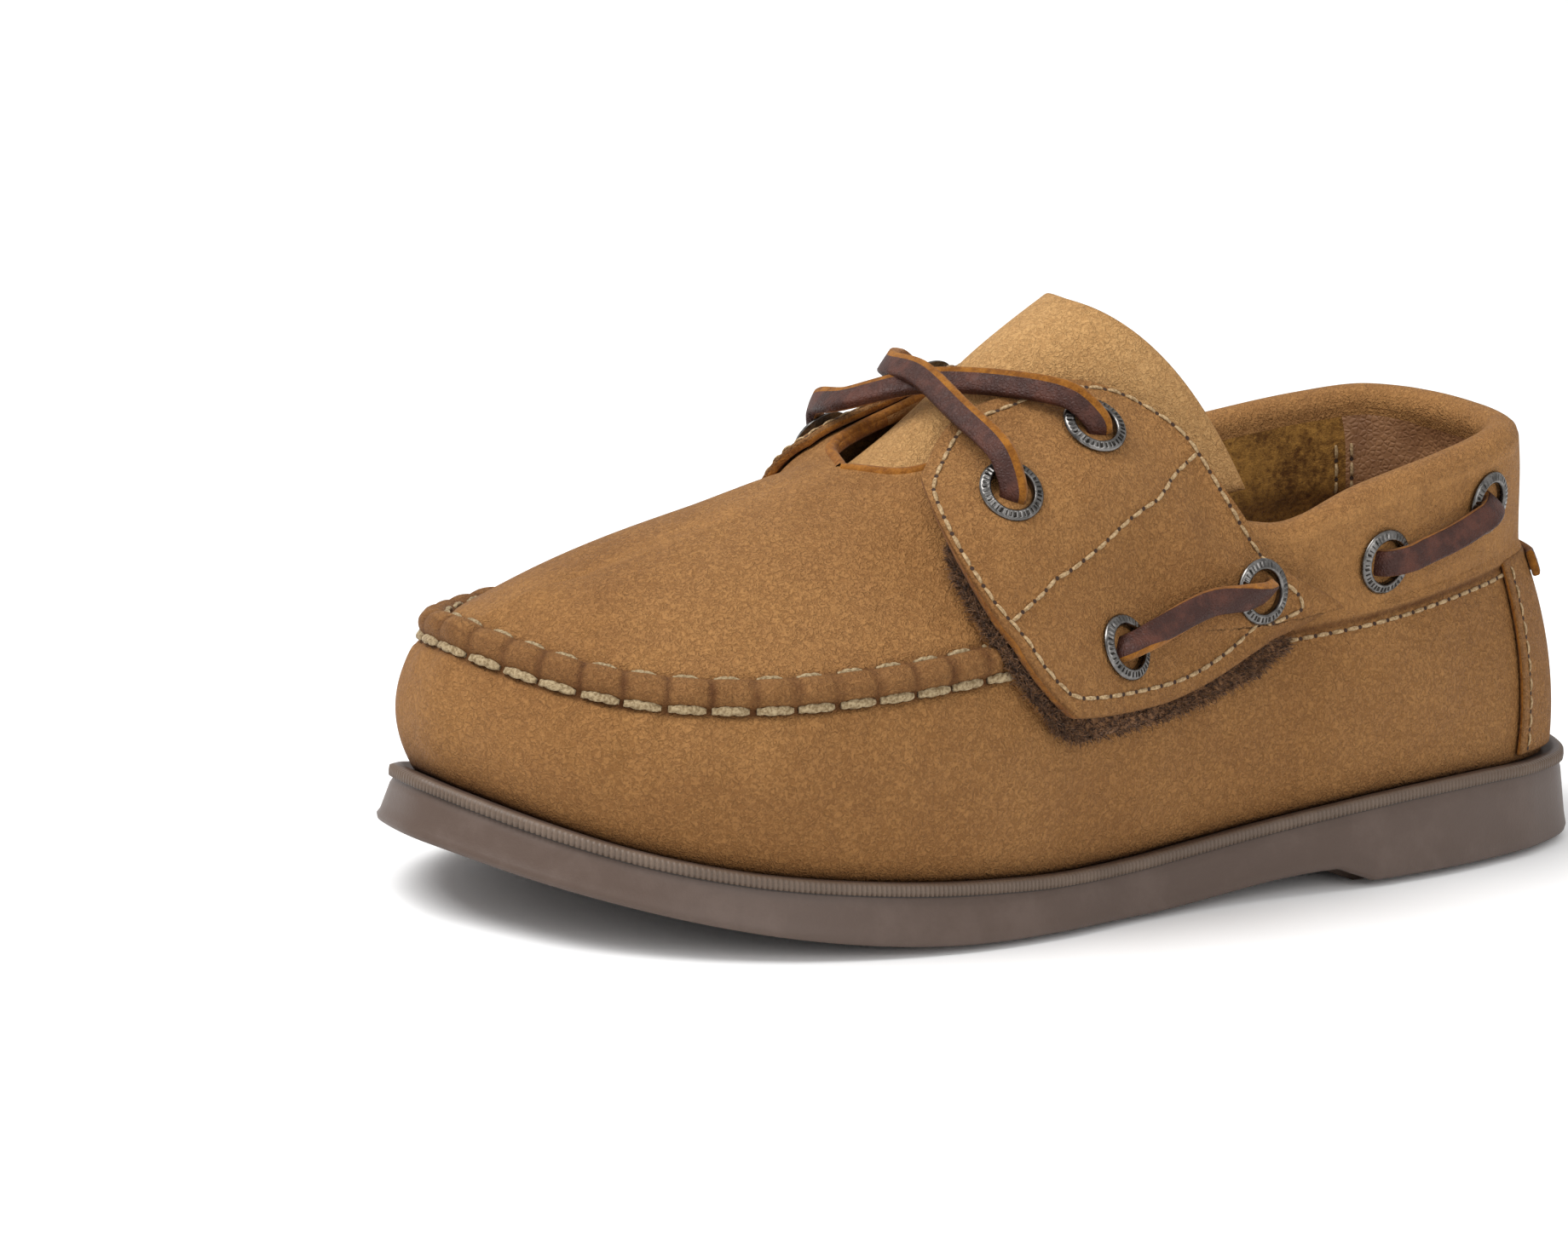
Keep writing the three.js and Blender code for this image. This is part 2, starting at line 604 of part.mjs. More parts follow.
// Laces: flat leather thongs swept through points, each with the direction out of the leather
const lace = { width: 4.2, thickness: 1.9 };
function thong(points, stations, thickness = lace.thickness) {
  const path = new THREE.CatmullRomCurve3(points.map((p) => p.at), false, "centripetal");
  const section = [
    [-1, -0.5], [-0.7, -1], [0.7, -1], [1, -0.5], [1, 0.5], [0.7, 1], [-0.7, 1], [-1, 0.5],
  ];
  const rings = [];
  for (let k = 0; k <= stations; k++) {
    const t = k / stations;
    const place = t * (points.length - 1);
    const i = Math.min(points.length - 2, Math.floor(place));
    const out = points[i].out.clone().lerp(points[i + 1].out, place - i);
    const ahead = path.getTangent(t);
    const aside = out.clone().cross(ahead).normalize();
    const up = ahead.clone().cross(aside).normalize();
    const centre = path.getPoint(t);
    rings.push(
      section.map(([a, b]) =>
        centre.clone()
          .addScaledVector(aside, (a * lace.width) / 2)
          .addScaledVector(up, (b * thickness) / 2),
      ),
    );
  }
  const vertices = rings.flat().map((p) => [p.x, p.y, p.z]);
  const triangles = [];
  const n = section.length;
  for (let r = 0; r < stations; r++) {
    for (let i = 0; i < n; i++) {
      const a = r * n + i;
      const b = r * n + ((i + 1) % n);
      triangles.push([a, b, b + n], [a, b + n, a + n]);
    }
  }
  const end = stations * n;
  for (let i = 1; i + 1 < n; i++) {
    triangles.push([0, i + 1, i], [end, end + i, end + i + 1]);
  }
  return geometryOf(vertices, triangles);
}
// The way out of an eyelet: from inside its bore, up over the flange towards another point
function wayOut(spot, target) {
  const over = eyelet.flange + gap * 1.5 + lace.thickness / 2;
  const toward = target.clone().sub(spot.at);
  toward.addScaledVector(spot.out, -toward.dot(spot.out)).normalize();
  const at = (out, ahead) =>
    spot.at.clone().addScaledVector(spot.out, out).addScaledVector(toward, ahead);
  const back = toward.clone().negate();
  return [
    { at: at(-0.9, -1.1), out: spot.out.clone().lerp(back, 0.7).normalize() },
    { at: at(0.9, -0.2), out: spot.out.clone().lerp(back, 0.5).normalize() },
    { at: at(over + 0.1, 3.4), out: spot.out },
    { at: at(over, eyelet.outer + 1), out: spot.out },
  ];
}
function lacePath(from, middle, to) {
  const first = middle.length ? middle[0].at : to.at;
  const last = middle.length ? middle[middle.length - 1].at : from.at;
  return [...wayOut(from, first), ...middle, ...wayOut(to, last).reverse()];
}
const barLift = 1.6; // how far a bar's middle line stands off the leather
function bar(from, to, middle) {
  return thong(lacePath(spots[from], [middle], spots[to]), 12);
}
// The two laces that cross over the tongue are one joined solid. Rows of points along each, over
// the plug's rear edge: ahead, to the outer side, up.
const crossing = {
  top: [[-12, 13, 10.8], [-13.2, 1, 14], [-15, -9, 13.2]],
  under: [[-20.5, 6, 13.4], [-14.2, -1, 12.2], [-8, -11, 7.8]],
};
function crossingPoint([ahead, aside, up]) {
  const rear = facePoint(1, throat, 2);
  const at = rear.clone().add(new THREE.Vector3(ahead, aside, up));
  return { at, out: new THREE.Vector3(0, aside / 30, 1).normalize() };
}
function laceCrossing() {
  const top = lacePath(spots.flap_front, crossing.top.map(crossingPoint), spots.inner_rear);
  const under = lacePath(spots.flap_rear, crossing.under.map(crossingPoint), spots.inner_front);
  return geometryFrom(solidOf(thong(top, 18)).add(solidOf(thong(under, 18))));
}
const over = (side, section, v, out) => ({
  at: lifted(side, section, v, out + relief(section, v)),
  out: faceNormal(side, section, v),
});

// The lace shows once more where it crosses the backstay under the collar, pulled flat. It reaches
// some sections to either side at a height v, and sags in the middle.
const heelLace = { reach: 1.25, thickness: 1.3, v: 0.88, sag: 0.02 };
function heelBar() {
  const out = gap * 2 + stay.thickness + heelLace.thickness / 2;
  const points = [-1, -0.6, -0.2, 0.2, 0.6, 1].map((share) => {
    const v = heelLace.v - heelLace.sag * (1 - share * share);
    return over(share < 0 ? 1 : -1, Math.abs(share) * heelLace.reach, v, out);
  });
  return thong(points, 14, heelLace.thickness);
}

const leather = new THREE.MeshStandardMaterial({ color: 0xa8753c, roughness: 0.85 });
const rubber = new THREE.MeshStandardMaterial({ color: 0x5e504b, roughness: 0.5 });
const lining = new THREE.MeshStandardMaterial({ color: 0x9a6e48, roughness: 0.9 });
const pile = new THREE.MeshStandardMaterial({ color: 0x55331c, roughness: 1 });
const thongLeather = new THREE.MeshStandardMaterial({ color: 0x4a2a1c, roughness: 0.6 });
const metal = new THREE.MeshStandardMaterial({ color: 0x8a8784, metalness: 0.9, roughness: 0.35 });

const shoe = new THREE.Group();
shoe.position.x = -heelCentre;
function add(name, geometry, material) {
  const mesh = new THREE.Mesh(geometry, material);
  mesh.name = name;
  shoe.add(mesh);
}
const holes = {
  collar: ["outer_collar_front", "outer_collar_rear", "inner_collar_front", "inner_collar_rear"],
  flap: ["flap_front", "flap_rear", "flap_bar_front", "flap_bar_rear"],
  eyestay: ["inner_front", "inner_rear"],
};
const holeDepth = { collar: 2.3, flap: 4, eyestay: 3 };
const grids = {
  pad: { across: 9, down: 5 },
  flap: { across: 10, down: 8 },
  eyestay: { across: 8, down: 5 },
};
const pad = overlay(1, padRows, () => gap, () => padThickness, grids.pad);
const flap = overlay(1, flapRows, flapLow, flapHigh, grids.flap);
const eyestay = overlay(-1, eyestayRows, overlayLow, overlayHigh, grids.eyestay);
const flapBarMiddle = over(1, 6.3, 1.2, flapHigh(1.2) + barLift);
const collarBarMiddle = (side) => over(side, 3.35, 1.48, collarStep + barLift);

add("outsole", outsole(), rubber);
add("upper", drilled(upper(), holes.collar, holeDepth.collar), leather);
add("insole", insole(), lining);
add("tongue", tongue(), leather);
add("pile_pad", pad, pile);
add("lateral_flap", drilled(flap, holes.flap, holeDepth.flap), leather);
add("medial_eyestay", drilled(eyestay, holes.eyestay, holeDepth.eyestay), leather);
add("backstay", backstay(), leather);
for (const [name, spot] of Object.entries(spots)) {
  add("eyelet_" + name, eyeletAt(spot), metal);
}
add("lace_crossing", laceCrossing(), thongLeather);
add("lace_bar_flap", bar("flap_bar_front", "flap_bar_rear", flapBarMiddle), thongLeather);
for (const [name, side] of [["outer", 1], ["inner", -1]]) {
  const ends = [name + "_collar_front", name + "_collar_rear"];
  add("lace_bar_" + name, bar(ends[0], ends[1], collarBarMiddle(side)), thongLeather);
}
add("lace_bar_heel", heelBar(), thongLeather);

export default shoe;
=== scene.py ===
# %% [markdown]
# # A child's boat shoe
#
# A boat shoe is a moccasin on a rubber sole: one piece of leather is wrapped up round the foot, and a
# second one, the plug, is sewn on top of it with a thick thread. This one is for a small left foot. A
# wide flap on its outer side presses shut over a pad of pile, and short thongs run through eyelets.
#
# The solids of all its pieces are already made, true in size and place. This lesson gives them their
# looks. It could bend and carve those solids, but their faces are coarse. So each soft piece is drawn
# once more from the same table, with fine faces, and takes the place of its solid.
#
# The frame: +X goes to the toe, +Y to the outer side and +Z up, from the floor under the heel. Sizes
# are in millimetres here, and the meshes are made in metres.

import math

import bmesh
import bpy
import numpy as np
from mathutils import Matrix, Vector


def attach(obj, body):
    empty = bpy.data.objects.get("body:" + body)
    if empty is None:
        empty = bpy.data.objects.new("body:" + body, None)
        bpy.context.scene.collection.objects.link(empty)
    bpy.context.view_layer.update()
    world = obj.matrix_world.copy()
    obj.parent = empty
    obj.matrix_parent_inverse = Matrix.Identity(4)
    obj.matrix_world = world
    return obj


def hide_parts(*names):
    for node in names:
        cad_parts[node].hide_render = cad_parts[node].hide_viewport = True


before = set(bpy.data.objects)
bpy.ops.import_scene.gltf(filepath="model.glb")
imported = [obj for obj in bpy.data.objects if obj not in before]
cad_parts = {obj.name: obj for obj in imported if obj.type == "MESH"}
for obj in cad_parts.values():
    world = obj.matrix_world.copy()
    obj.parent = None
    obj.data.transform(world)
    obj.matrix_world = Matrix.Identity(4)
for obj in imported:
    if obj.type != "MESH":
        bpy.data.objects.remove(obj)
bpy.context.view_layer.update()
MM = 0.001
print("nodes:", len(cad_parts))

# %% [markdown]
# ## The sizes
#
# The real upper is pulled over a last, a block in the shape of a foot. Here the last is a table: 17
# sections from the back of the heel to the tip of the toe. Each row says where the sole's edge is, and
# how far in and up the belt lies. The belt is the line of the moccasin seam, and behind the throat it
# is the seam of the collar. The last four columns place the edge: the topline, and before the throat
# the ridge along the middle of the plug.
#
# A subdivided cage would also do. Rows with named columns are easier to compare with a photograph,
# because each number is a share of one size that can be seen.

# %% The sizes
SOLE_LENGTH = 212
BALL_WIDTH = 81
HEEL_CENTRE = 30
SOLE_THICKNESS = 14
TOE_SPRING = 11.3
ARCH_RISE = 2.6
SOLE_FLARE = 1.9
TREAD_STEP = 1.0
TREAD_INSET = 3.2
LEDGE = 3.2
WELT_WIDTH = 1.4
WELT_HEIGHT = 0.9
COLLAR_HEIGHT = 64.9
WALL = 2.2
WALL_BULGE = 4.6
COLLAR_PAD = 5
COLLAR_STEP = 1.1
SEAM_RIDGE = 2.3
SEAM_HALF = 2.4
GAP = 0.3

COLUMNS = (
    "along lateral medial top bulge beltIn beltUp beltLean edgeAlong edgeOut edgeUp edgeLean"
).split()
SECTIONS = np.array([
    [0.0, 0.0, 0.0, 0.965, 0.05, 0.1, 0.74, 76, 0.071, 0.0, 1.02, 66],
    [0.03, 0.223, 0.223, 0.97, 0.05, 0.097, 0.738, 76, 0.083, 0.14, 1.02, 66],
    [0.08, 0.301, 0.318, 0.99, 0.12, 0.086, 0.73, 75, 0.112, 0.224, 1.01, 67],
    [0.15, 0.354, 0.362, 1.02, 0.3, 0.064, 0.712, 73, 0.166, 0.277, 0.98, 70],
    [0.25, 0.394, 0.355, 0.98, 0.5, 0.046, 0.68, 72, 0.258, 0.302, 0.93, 74],
    [0.38, 0.403, 0.315, 0.79, 0.55, 0.04, 0.655, 70, 0.368, 0.298, 0.862, 72],
    [0.44, 0.416, 0.319, 0.7, 0.6, 0.036, 0.652, 66, 0.415, 0.275, 0.935, 52],
    [0.5, 0.438, 0.335, 0.635, 0.65, 0.03, 0.656, 62, 0.472, 0.197, 1.135, 28],
    [0.6, 0.485, 0.4, 0.635, 0.7, 0.02, 0.668, 55, 0.58, 0.152, 1.11, 16],
    [0.65, 0.496, 0.445, 0.67, 0.72, 0.018, 0.67, 48, 0.65, 0.115, 1.037, 10],
    [0.68, 0.496, 0.472, 0.69, 0.75, 0.012, 0.663, 42, 0.672, 0.0, 1.02, 4],
    [0.76, 0.47, 0.505, 0.765, 0.78, 0.003, 0.64, 38, 0.752, 0.0, 0.94, 3],
    [0.84, 0.407, 0.493, 0.88, 0.8, 0.002, 0.62, 36, 0.8, 0.0, 0.885, 2],
    [0.91, 0.302, 0.427, 1.06, 0.8, 0.006, 0.618, 34, 0.838, 0.0, 0.842, 2],
    [0.96, 0.172, 0.327, 1.26, 0.8, 0.013, 0.636, 32, 0.864, 0.0, 0.812, 2],
    [0.99, 0.0, 0.21, 1.41, 0.8, 0.02, 0.66, 30, 0.88, 0.0, 0.794, 2],
    [1.0, -0.091, 0.091, 1.47, 0.8, 0.023, 0.672, 30, 0.89, 0.0, 0.783, 2],
])
TIP = len(SECTIONS) - 1
THROAT = 10  # the section where the opening ends
print("sections:", len(SECTIONS))

# %% [markdown]
# ## Reading the table smoothly
#
# Leather has no corners at the sections, so the values between the rows come from a smooth curve. The
# rows are taken once round the shoe, out along the outer side and back along the inner one. That way
# the curve is also smooth over the heel and over the toe, where the two sides meet.

# %% Reading the table smoothly
table = {name: SECTIONS[:, i] for i, name in enumerate(COLUMNS)}

ahead_steps = np.diff(table["along"]) * SOLE_LENGTH
aside_steps = (np.diff(table["lateral"]) ** 2 + np.diff(table["medial"]) ** 2) / 2
lengths = np.hypot(ahead_steps, np.sqrt(aside_steps) * BALL_WIDTH)
one_way = np.concatenate([[0], np.cumsum(lengths)])
knots = np.concatenate([one_way, 2 * one_way[-1] - one_way[-2::-1]])
RING = 2 * TIP
GIRTH = knots[RING]


def ring_values(name):
    """A column once round the shoe: out along the outer side, back along the inner one."""
    if name == "out":
        return np.concatenate([table["lateral"], -table["medial"][-2:0:-1]])
    return np.concatenate([table[name], table[name][-2:0:-1]])


def knot_at(i):
    """How far round the shoe a row is, in millimetres, for any count of rounds."""
    return knots[np.mod(i, RING)] + np.floor_divide(i, RING) * GIRTH


def slope_at(values, i):
    before = knot_at(i) - knot_at(i - 1)
    after = knot_at(i + 1) - knot_at(i)
    fall = (values[np.mod(i, RING)] - values[np.mod(i - 1, RING)]) / before
    rise = (values[np.mod(i + 1, RING)] - values[np.mod(i, RING)]) / after
    return (fall * after + rise * before) / (before + after)


def read(name, side, section):
    """A column's smooth value; side is 1 for the outer side and -1 for the inner one."""
    values = ring_values(name)
    place = np.where(side > 0, section, RING - section)
    i = np.floor(place).astype(int)
    t = place - i
    span = knot_at(i + 1) - knot_at(i)
    a, b = values[np.mod(i, RING)], values[np.mod(i + 1, RING)]
    return (
        (2 * t**3 - 3 * t**2 + 1) * a
        + (t**3 - 2 * t**2 + t) * span * slope_at(values, i)
        + (3 * t**2 - 2 * t**3) * b
        + (t**3 - t**2) * span * slope_at(values, i + 1)
    )


print("round the sole:", round(float(GIRTH)), "mm")

# %% [markdown]
# ## The sole's edge
#
# Every section starts at the edge of the sole. Its outline comes straight from the table, and the way
# out of it is found by comparing two places a small step apart.

# %% The sole's edge
STEP = 0.02


def mix(a, b, t):
    return a + (b - a) * t


def ease(t):
    t = np.clip(t, 0, 1)
    return t * t * (3 - 2 * t)


def unit(v):
    return v / np.maximum(np.linalg.norm(v, axis=-1, keepdims=True), 1e-9)


def edge_point(side, section):
    """The sole's edge, seen from above."""
    x = read("along", side, section) * SOLE_LENGTH - HEEL_CENTRE
    y = read("out", side, section) * BALL_WIDTH
    return np.stack([x, y], axis=-1)


def outward(side, section):
    way = edge_point(side, section + STEP) - edge_point(side, section - STEP)
    return unit(np.stack([-way[..., 1], way[..., 0]], axis=-1) * np.asarray(side)[..., None])


def sole_top(side, section):
    return read("top", side, section) * SOLE_THICKNESS


print("the sole's tip:", edge_point(1.0, float(TIP)).round(1))

# %% [markdown]
# ## The face of the upper
#
# A place on the upper is a side (1 outer, -1 inner), a section, and v: 0 at the sole, 1 at the belt and
# 2 at the edge. The wall below the belt leans in and bulges a little, as leather does that is lasted
# tightly. Above the belt one Bezier curve goes over to the edge, and two columns of the table give the
# angles at which it leaves the belt and meets the edge. The plug's ridge turns inwards at the toe.

# %% The face of the upper
RIDGE_BEND = 4.5
RIDGE_TURN = {"from": 0.6, "over": 0.32}
CURVE_HANDLES = 0.4


def spread(side, section, v):
    return np.broadcast_arrays(*(np.asarray(value, float) for value in (side, section, v)))


def face(side, section, v):
    """A point of the upper's face: v is 0 at the sole, 1 at the belt and 2 at the edge."""
    side, section, v = spread(side, section, v)
    foot, out = edge_point(side, section), outward(side, section)
    belt_in = read("beltIn", side, section) * BALL_WIDTH
    belt_up = read("beltUp", side, section) * COLLAR_HEIGHT
    foot_up = sole_top(side, section) + GAP
    low_v = np.minimum(v, 1)
    bulge = read("bulge", side, section) * WALL_BULGE * 4 * low_v * (1 - low_v)
    inset = LEDGE + belt_in * low_v**2 - bulge
    wall = np.concatenate([foot - out * inset[..., None], mix(foot_up, belt_up, low_v)[..., None]], -1)
    belt = np.concatenate([foot - out * (LEDGE + belt_in)[..., None], belt_up[..., None]], -1)
    along_x = read("edgeAlong", side, section) * SOLE_LENGTH
    turned = (along_x / SOLE_LENGTH - RIDGE_TURN["from"]) / RIDGE_TURN["over"]
    bend = -RIDGE_BEND * ease(turned)
    edge_out = np.maximum(0, read("edgeOut", side, section)) * BALL_WIDTH * (section < THROAT)
    edge_up = read("edgeUp", side, section) * COLLAR_HEIGHT
    edge = np.stack([along_x - HEEL_CENTRE, bend + side * edge_out, edge_up], -1)
    across = edge - belt
    reach = np.linalg.norm(across, axis=-1) * CURVE_HANDLES
    across = unit(across * [1, 1, 0])

    def aim(name):
        angle = np.radians(read(name, side, section))
        way = across * np.cos(angle)[..., None]
        way[..., 2] = np.sin(angle)
        return way * reach[..., None]

    first, last = belt + aim("beltLean"), edge - aim("edgeLean")
    t = np.clip(v - 1, 0, 1)[..., None]
    top = bezier(belt, first, last, edge, t)
    reach_out = (np.maximum(v - 2, 0) * plug_length(belt, first, last, edge))[..., None]
    top = top + unit(edge - last) * reach_out
    return np.where((v <= 1)[..., None], wall, top)


def bezier(a, b, c, d, t):
    return (1 - t) ** 3 * a + 3 * (1 - t) ** 2 * t * b + 3 * (1 - t) * t**2 * c + t**3 * d


def plug_length(*corners):
    """The length of the curve from the belt to the edge, in eight straight steps."""
    places = [bezier(*corners, t) for t in np.linspace(0, 1, 9)]
    return sum(np.linalg.norm(b - a, axis=-1) for a, b in zip(places, places[1:]))


print("belt at the ball:", face(1, 11, 1).round(1))

# %% [markdown]
# ## The way out of the leather
#
# Relief, linings and overlays all need to know which way is out. It is square to two small steps along
# the face, and the two sides share one way where they meet, so that no crease shows there.

# %% The way out of the leather


def normal(side, section, v):
    side, section, v = spread(side, section, v)

    def one(s):
        a = face(s, np.maximum(0.001, section - STEP), v)
        b = face(s, np.minimum(TIP - 0.001, section + STEP), v)
        c = face(s, section, np.maximum(0, v - STEP))
        d = face(s, section, np.where(v < 2, np.minimum(2, v + STEP), v + STEP))
        return unit(np.cross(b - a, d - c) * -s[..., None])

    here = one(side)
    shared = (section <= 0) | (section >= TIP) | ((v >= 2) & (section >= THROAT))
    return np.where(shared[..., None], unit(here + one(-side)), here)


print("out at the ball:", normal(1, 11, 1).round(2))

# %% [markdown]
# ## Where the seam and the creases are
#
# The moccasin seam runs round the front of the shoe, with one thick stitch every 6.5 mm. The collar is
# a thicker band behind the throat. The creases are laid where the photograph shows that the leather
# has bent: most of them are short ones in the wall beside the toes.
#
# A noise pattern could make creases as well, but it would put them everywhere. Real ones are few, and
# each has a cause.

# %% Where the seam and the creases are
SEAM_START = 8.72
SEAM_FADE = 0.4
COLLAR_END = 7.0
COLLAR_FADE = 0.5
PAD_END = 5.8
STITCH_PITCH = 6.5

CREASES = [  # side, section, v, half length along v, half width in sections, depth
    (1, 13.25, 0.62, 0.34, 0.16, 0.55),
    (1, 12.9, 0.6, 0.3, 0.13, 0.45),
    (1, 13.7, 0.66, 0.26, 0.13, 0.3),
    (1, 12.3, 0.62, 0.25, 0.12, 0.22),
    (1, 14.4, 0.62, 0.28, 0.16, 0.25),
    (-1, 13.4, 0.62, 0.32, 0.15, 0.45),
    (-1, 12.6, 0.62, 0.3, 0.13, 0.35),
    (1, 13.5, 0.86, 0.1, 0.06, 0.4),
    (1, 12.95, 0.84, 0.1, 0.05, 0.35),
    (1, 14.05, 0.86, 0.09, 0.06, 0.3),
    (1, 7.7, 0.35, 0.25, 0.3, 0.3),
    (-1, 8.1, 0.5, 0.32, 0.22, 0.35),
    (1, 3.1, 0.45, 0.3, 0.25, 0.25),
    (-1, 5.2, 0.55, 0.3, 0.25, 0.3),
]

print("creases:", len(CREASES))

# %% [markdown]
# ## Counting along the seam
#
# Stitches and puckers must agree, so they all read one count: 0 at the tip of the toe, 1 at the next
# stitch on the outer side and -1 on the inner side. Distances across the seam are measured from the
# belt in millimetres, and are negative below it.

# %% Counting along the seam


def widths(side, section):
    """How long the face is below the belt and above it, for turning millimetres into v."""
    below = read("beltUp", side, section) * COLLAR_HEIGHT - sole_top(side, section)
    above = np.linalg.norm(face(side, section, 2) - face(side, section, 1), axis=-1)
    return below, np.maximum(above, 4)


def from_belt(side, section, d):
    below, above = widths(side, section)
    return 1 + np.where(d < 0, d / below, d / above)


def to_belt(side, section, v):
    """The distance from the belt in millimetres, for a given v."""
    below, above = widths(side, section)
    return np.where(v < 1, (v - 1) * below, (v - 1) * above)


def seam_mask(section):
    return ease((section - SEAM_START) / SEAM_FADE)


def collar_mask(section):
    return 1 - ease((section - COLLAR_END + COLLAR_FADE) / COLLAR_FADE)


seam_sections = np.linspace(SEAM_START, TIP, 500)
seam_runs = {}
for one_side in (1, -1):
    belt_line = face(one_side, seam_sections, 1.0)
    steps = np.linalg.norm(np.diff(belt_line, axis=0), axis=1)
    seam_runs[one_side] = np.concatenate([np.cumsum(steps[::-1])[::-1], [0]])


def seam_phase(side, section):
    """Counts stitches along the seam from the tip of the toe, negative on the inner side."""
    outer_run = np.interp(section, seam_sections, seam_runs[1])
    inner_run = np.interp(section, seam_sections, seam_runs[-1])
    return np.where(side > 0, outer_run, -inner_run) / STITCH_PITCH


def seam_place(phase):
    """The side and section at a stitch count."""
    run = abs(phase) * STITCH_PITCH
    outer_section = np.interp(run, seam_runs[1][::-1], seam_sections[::-1])
    inner_section = np.interp(run, seam_runs[-1][::-1], seam_sections[::-1])
    side = np.where(phase < 0, -1.0, 1.0)
    return side, np.where(phase < 0, inner_section, outer_section)


def hill(x, middle, half, power=2):
    """A soft hill that is 1 in its middle."""
    return np.exp(-(((x - middle) / half) ** power))


def pinches(phase):
    """1 between two stitches, where the thread pulls the leather in."""
    return hill(phase - np.floor(phase), 0.5, 0.085)


print("stitches of the seam:", int(seam_phase(1, SEAM_START) - seam_phase(-1, SEAM_START)))

# %% [markdown]
# ## Relief of the leather
#
# The wall's top edge and the plug are folded together and sewn, so the seam stands up as a roll. Each
# stitch gathers the leather beside it, and between two stitches the thread pinches the roll. A bump
# texture would look the same from afar, but the roll also shows in the outline of the toe. That is why
# it is real height, added along the way out of the face.

# %% Relief of the leather


def relief(side, section, v):
    d = to_belt(side, section, v)
    seam = seam_mask(section)
    phase = seam_phase(side, section)
    pucker = 0.5 + 0.5 * np.cos(2 * math.pi * phase)
    pinch = pinches(phase)
    hump = np.clip(1 - ((d - 0.2) / (SEAM_HALF - 0.2)) ** 2, 0, 1) ** 0.7
    height = SEAM_RIDGE * 0.92 * hump * (0.88 + 0.12 * pucker - 0.24 * pinch)
    valley = -0.6 * hill(d, -2.6, 0.9) * (0.6 + 0.4 * pucker)
    gather = 0.45 * (pucker - 0.6) * hill(d, -4.0, 2.6)
    inner = -0.3 * hill(d, 2.7, 0.7)
    out = seam * (height + valley + gather + inner)
    out = out + COLLAR_STEP * collar_mask(section) * ease((v - 0.93) / 0.03)
    for crease_side, at, middle, long, wide, depth in CREASES:
        trough = hill(section, at, wide) * hill(v, middle, long, 4)
        out = out - np.where(side == crease_side, depth * trough, 0)
    return out


def lifted(side, section, v, out=0.0):
    """A place that lies out millimetres off the plain face."""
    return face(side, section, v) + normal(side, section, v) * np.asarray(out)[..., None]


def on_upper(side, section, v, out=0.0):
    """A place on the leather with its relief, or out millimetres off it."""
    side, section, v = spread(side, section, v)
    return lifted(side, section, v, relief(side, section, v) + out)


print("seam ridge:", relief(np.array(1.0), np.array(12.0), np.array(1.0)).round(2), "mm")

# %% [markdown]
# ## Shader helpers
#
# Leather, rubber and metal are mixtures of noise in several sizes. Wiring the nodes one by one hides
# the recipe, so a Value wraps one socket and lets the recipe be written as sums and products.

# %% Shader helpers


def operator(kind, swapped=False):
    def apply(self, other):
        pair = (other, self) if swapped else (self, other)
        return self.paint.node("ShaderNodeMath", {0: pair[0], 1: pair[1]}, operation=kind)

    return apply


class Value:
    """A shader socket with arithmetic."""

    __add__, __radd__ = operator("ADD"), operator("ADD", True)
    __sub__, __rsub__ = operator("SUBTRACT"), operator("SUBTRACT", True)
    __mul__, __truediv__ = operator("MULTIPLY"), operator("DIVIDE")

    def __init__(self, paint, socket):
        self.paint = paint
        self.socket = socket

    def fraction(self):
        return self.paint.node("ShaderNodeMath", {0: self, 1: 0}, operation="FRACT")

    def size(self):
        return self.paint.node("ShaderNodeMath", {0: self}, operation="ABSOLUTE")

    def between(self, low, high):
        """0 below low, 1 above high and a smooth rise from one to the other."""
        inputs = {"Value": self, "From Min": low, "From Max": high}
        return self.paint.node(
            "ShaderNodeMapRange", inputs, out="Result", interpolation_type="SMOOTHSTEP"
        )


print("a socket can be added, subtracted, multiplied and divided")

# %% [markdown]
# ## One material at a time
#
# Paint makes one Principled material and adds nodes to it. Numbers that are the same all over are set
# on its sockets directly. Sizes of noise are in millimetres of blob, since those can be judged by eye.

# %% One material at a time


